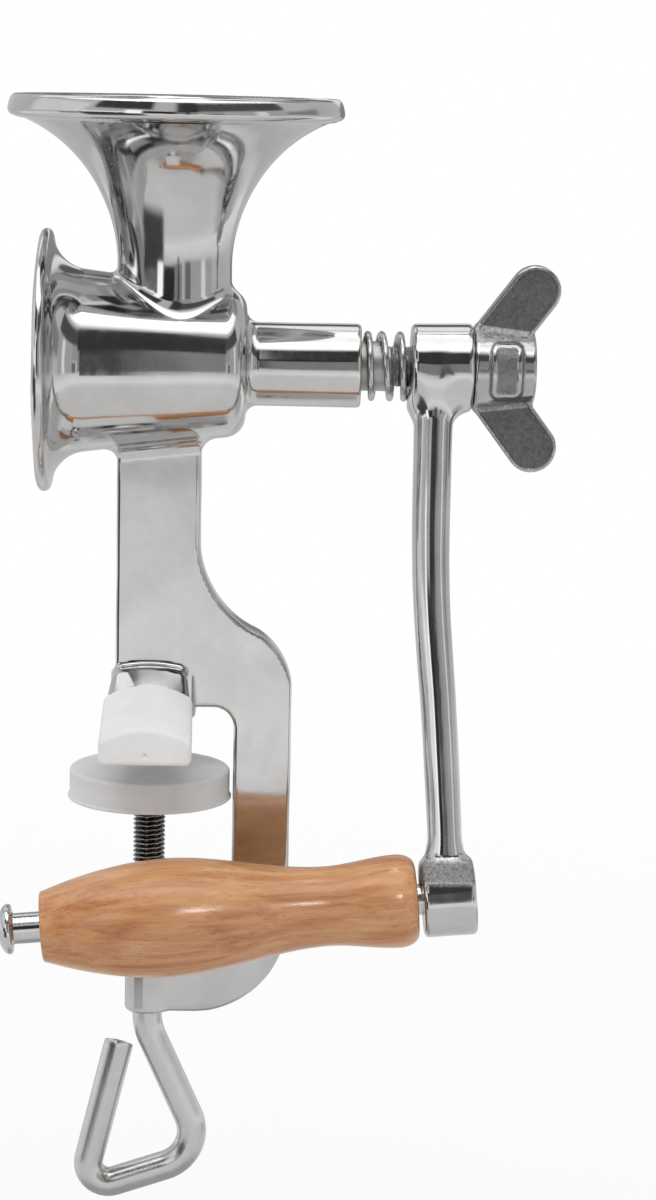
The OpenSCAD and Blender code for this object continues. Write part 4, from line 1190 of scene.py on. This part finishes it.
def disc(height, radii):
    """Points of a flat disc with each point's radius and azimuth, and the grid of their numbers."""
    turns = np.linspace(-180, 180, 121)
    radius, azimuth = (grid.ravel() for grid in np.meshgrid(radii, turns, indexing="ij"))
    angle = np.radians(azimuth)
    points = np.stack([radius * np.sin(angle), -radius * np.cos(angle), 0 * angle + height], 1)
    return points, radius, azimuth, np.arange(len(radius)).reshape(len(radii), len(turns))


def quads_of(grid):
    corners = [grid[:-1, :-1], grid[:-1, 1:], grid[1:, 1:], grid[1:, :-1]]
    return np.stack(corners, -1).reshape(-1, 4).tolist()


floor_radii = np.concatenate([np.linspace(1, 2000, 80), [60000]])
points, radius, azimuth, grid = disc(FLOOR_Z / MM, floor_radii)
floor = piece("studio_floor", points, quads_of(grid), [pale])
mark(floor, "white", np.interp(radius, [100, 900], [0.86, 1]))


def reflected(name, points, grid, shades):
    """A shaded skin that only reflections show, as studio flags and soft boxes do."""
    material, tree, _ = new_material(name, (0, 0, 0), 0, 1)
    glow = tree.nodes.new("ShaderNodeEmission")
    tree.links.new(attribute(tree, "shade"), glow.inputs["Strength"])
    tree.links.new(glow.outputs[0], tree.nodes["Material Output"].inputs["Surface"])
    obj = piece(name, points, quads_of(grid), [material])
    mark(obj, "shade", shades)
    obj.visible_camera = False
    obj.visible_diffuse = False
    obj.visible_transmission = False
    obj.visible_shadow = False


def window(value, low, high, soft):
    """1 between two bounds and 0 outside, with soft edges."""
    return ease((value - low) / soft + 0.5) * ease((high - value) / soft + 0.5)


# Each flag: shade, azimuths, elevations and softness in degrees; azimuth 0 is the front, 90 the right
FLAGS = [
    (0.6, (105, 400), (4, 40), 8),
    (0.6, (140, 400), (-24, 4), 8),
    (0.6, (-400, -140), (-24, 4), 8),
    (0.36, (108, 160), (40, 56), 6),
    (0.3, (-400, -166), (10, 40), 8),
    (0.28, (148, 400), (-4, 12), 5),
    (0.95, (148, 400), (12, 22), 4),
    (0.14, (150, 400), (23, 40), 5),
    (1.3, (152, 400), (44, 64), 4),
    (1.6, (-400, 400), (68, 130), 3),
    (7.0, (-400, 400), (79, 130), 3),
    (1.6, (-112, 100), (46.5, 130), 5),
    (2.6, (-60, 45), (51, 68), 4),
    (1.3, (-164, -128), (38, 54), 5),
    (0.1, (100, 150), (66, 79), 4),
    (0.07, (-164, -104), (65, 77), 4),
    (0.1, (-400, -168), (50, 66), 4),
    (0.9, (-112, -60), (2, 34), 8),
    (1.2, (-62, -33), (1, 12), 4),
    (0.62, (-62, -30), (12, 25), 4),
    (0.06, (-56, -14), (25, 46), 4),
    (0.2, (-84, -66), (-18, -6), 6),
    (0.07, (-66, -20), (-24, 0), 4),
    (1.6, (-32, -21), (-8, 23), 2.5),
    (0.3, (2, 16), (-7, 18), 2),
    (0.03, (-20, 2), (-5, 20), 2),
    (0.03, (2, 9), (14.5, 20), 2),
    (0.42, (16, 34), (6, 24), 3),
    (0.2, (22, 34), (-8, 4), 4),
    (0.5, (34, 80), (-8, 22), 5),
    (1.0, (56, 65), (-8, 22), 3),
    (0.3, (80, 112), (4, 20), 6),
    (0.1, (15, 80), (23, 41), 4),
    (0.05, (2, 17), (18, 43.5), 3),
    (0.07, (7.9, 10.8), (-12, 20), 1.2),
]

# Shades before the flags: on the dome by elevation, on the floor by radius
DOME_SHADES = {-21: 1.02, -15: 0.95, -11: 0.84, -6: 0.64}
# The floor's shade is lower near the middle: a painted shadow of the object, seen only in reflections
FLOOR_SHADES = {0: 0.42, 50: 0.45, 75: 0.7, 110: 0.76, 450: 0.78, 608: 0.95}

# Each flag on the floor: shade, azimuths and their softness in degrees, nearest radius and its softness
FLOOR_FLAGS = [
    (0.08, (-68, -20), 6, 300, 110),
    (0.5, (84, 120), 16, 230, 120),
    (0.6, (140, 400), 12, 260, 90),
    (0.6, (-400, -140), 12, 260, 90),
]

DOME_R = 650
turn = np.linspace(-180, 180, 481)
lift = np.linspace(min(DOME_SHADES), 90, 223)
azimuths, elevations = (grid.ravel() for grid in np.meshgrid(turn, lift))
shades = np.interp(elevations, list(DOME_SHADES), list(DOME_SHADES.values()))
for shade, (left, right), (bottom, top), soft in FLAGS:
    cover = window(azimuths, left, right, soft) * window(elevations, bottom, top, soft)
    shades = mix(shades, shade, cover)
a, e = np.radians(azimuths), np.radians(elevations)
points = DOME_R * np.stack([np.sin(a) * np.cos(e), -np.cos(a) * np.cos(e), np.sin(e)], 1)
points[:, 2] += AXIS_Z
grid = np.arange(len(points)).reshape(len(lift), len(turn))
reflected("reflected_studio", points, grid, shades)

points, radius, azimuth, grid = disc(FLOOR_Z / MM + 0.5, np.linspace(1, DOME_R, 130))
shades = np.interp(radius, list(FLOOR_SHADES), list(FLOOR_SHADES.values()))
for shade, (left, right), soft, nearest, fade in FLOOR_FLAGS:
    cover = window(azimuth, left, right, soft) * ease((radius - nearest) / fade + 0.5)
    shades = mix(shades, shade, cover)
reflected("reflected_floor", points, grid, shades)


LAMP_AIM = (0.02, 0, 0.02)


def softbox(name, place, size, power, only=None):
    """An area lamp that looks at the middle of the object, or that only shows in one piece's gloss."""
    lamp = bpy.data.lights.new(name, "AREA")
    lamp.shape = "RECTANGLE"
    lamp.size, lamp.size_y = size
    lamp.energy = power
    obj = bpy.data.objects.new(name, lamp)
    bpy.context.scene.collection.objects.link(obj)
    obj.location = place
    aim = Vector(LAMP_AIM) - Vector(place)
    obj.rotation_mode = "QUATERNION"
    obj.rotation_quaternion = aim.to_track_quat("-Z", "Y")
    obj.visible_glossy = only is not None
    obj.visible_diffuse = only is None
    if only is not None:
        receivers = bpy.data.collections.new(name + "_receivers")
        receivers.objects.link(only)
        obj.light_linking.receiver_collection = receivers


softbox("key_box", (-0.2, -0.55, 1.25), (1.2, 0.4), 7)
softbox("rim_box", (0.3, 1.2, 0.9), (1.0, 0.4), 4)
softbox("lacquer_glint", (0.15, -0.74, 0.34), (0.16, 0.06), 1, turned_grip)

bpy.context.scene.view_settings.view_transform = "Standard"
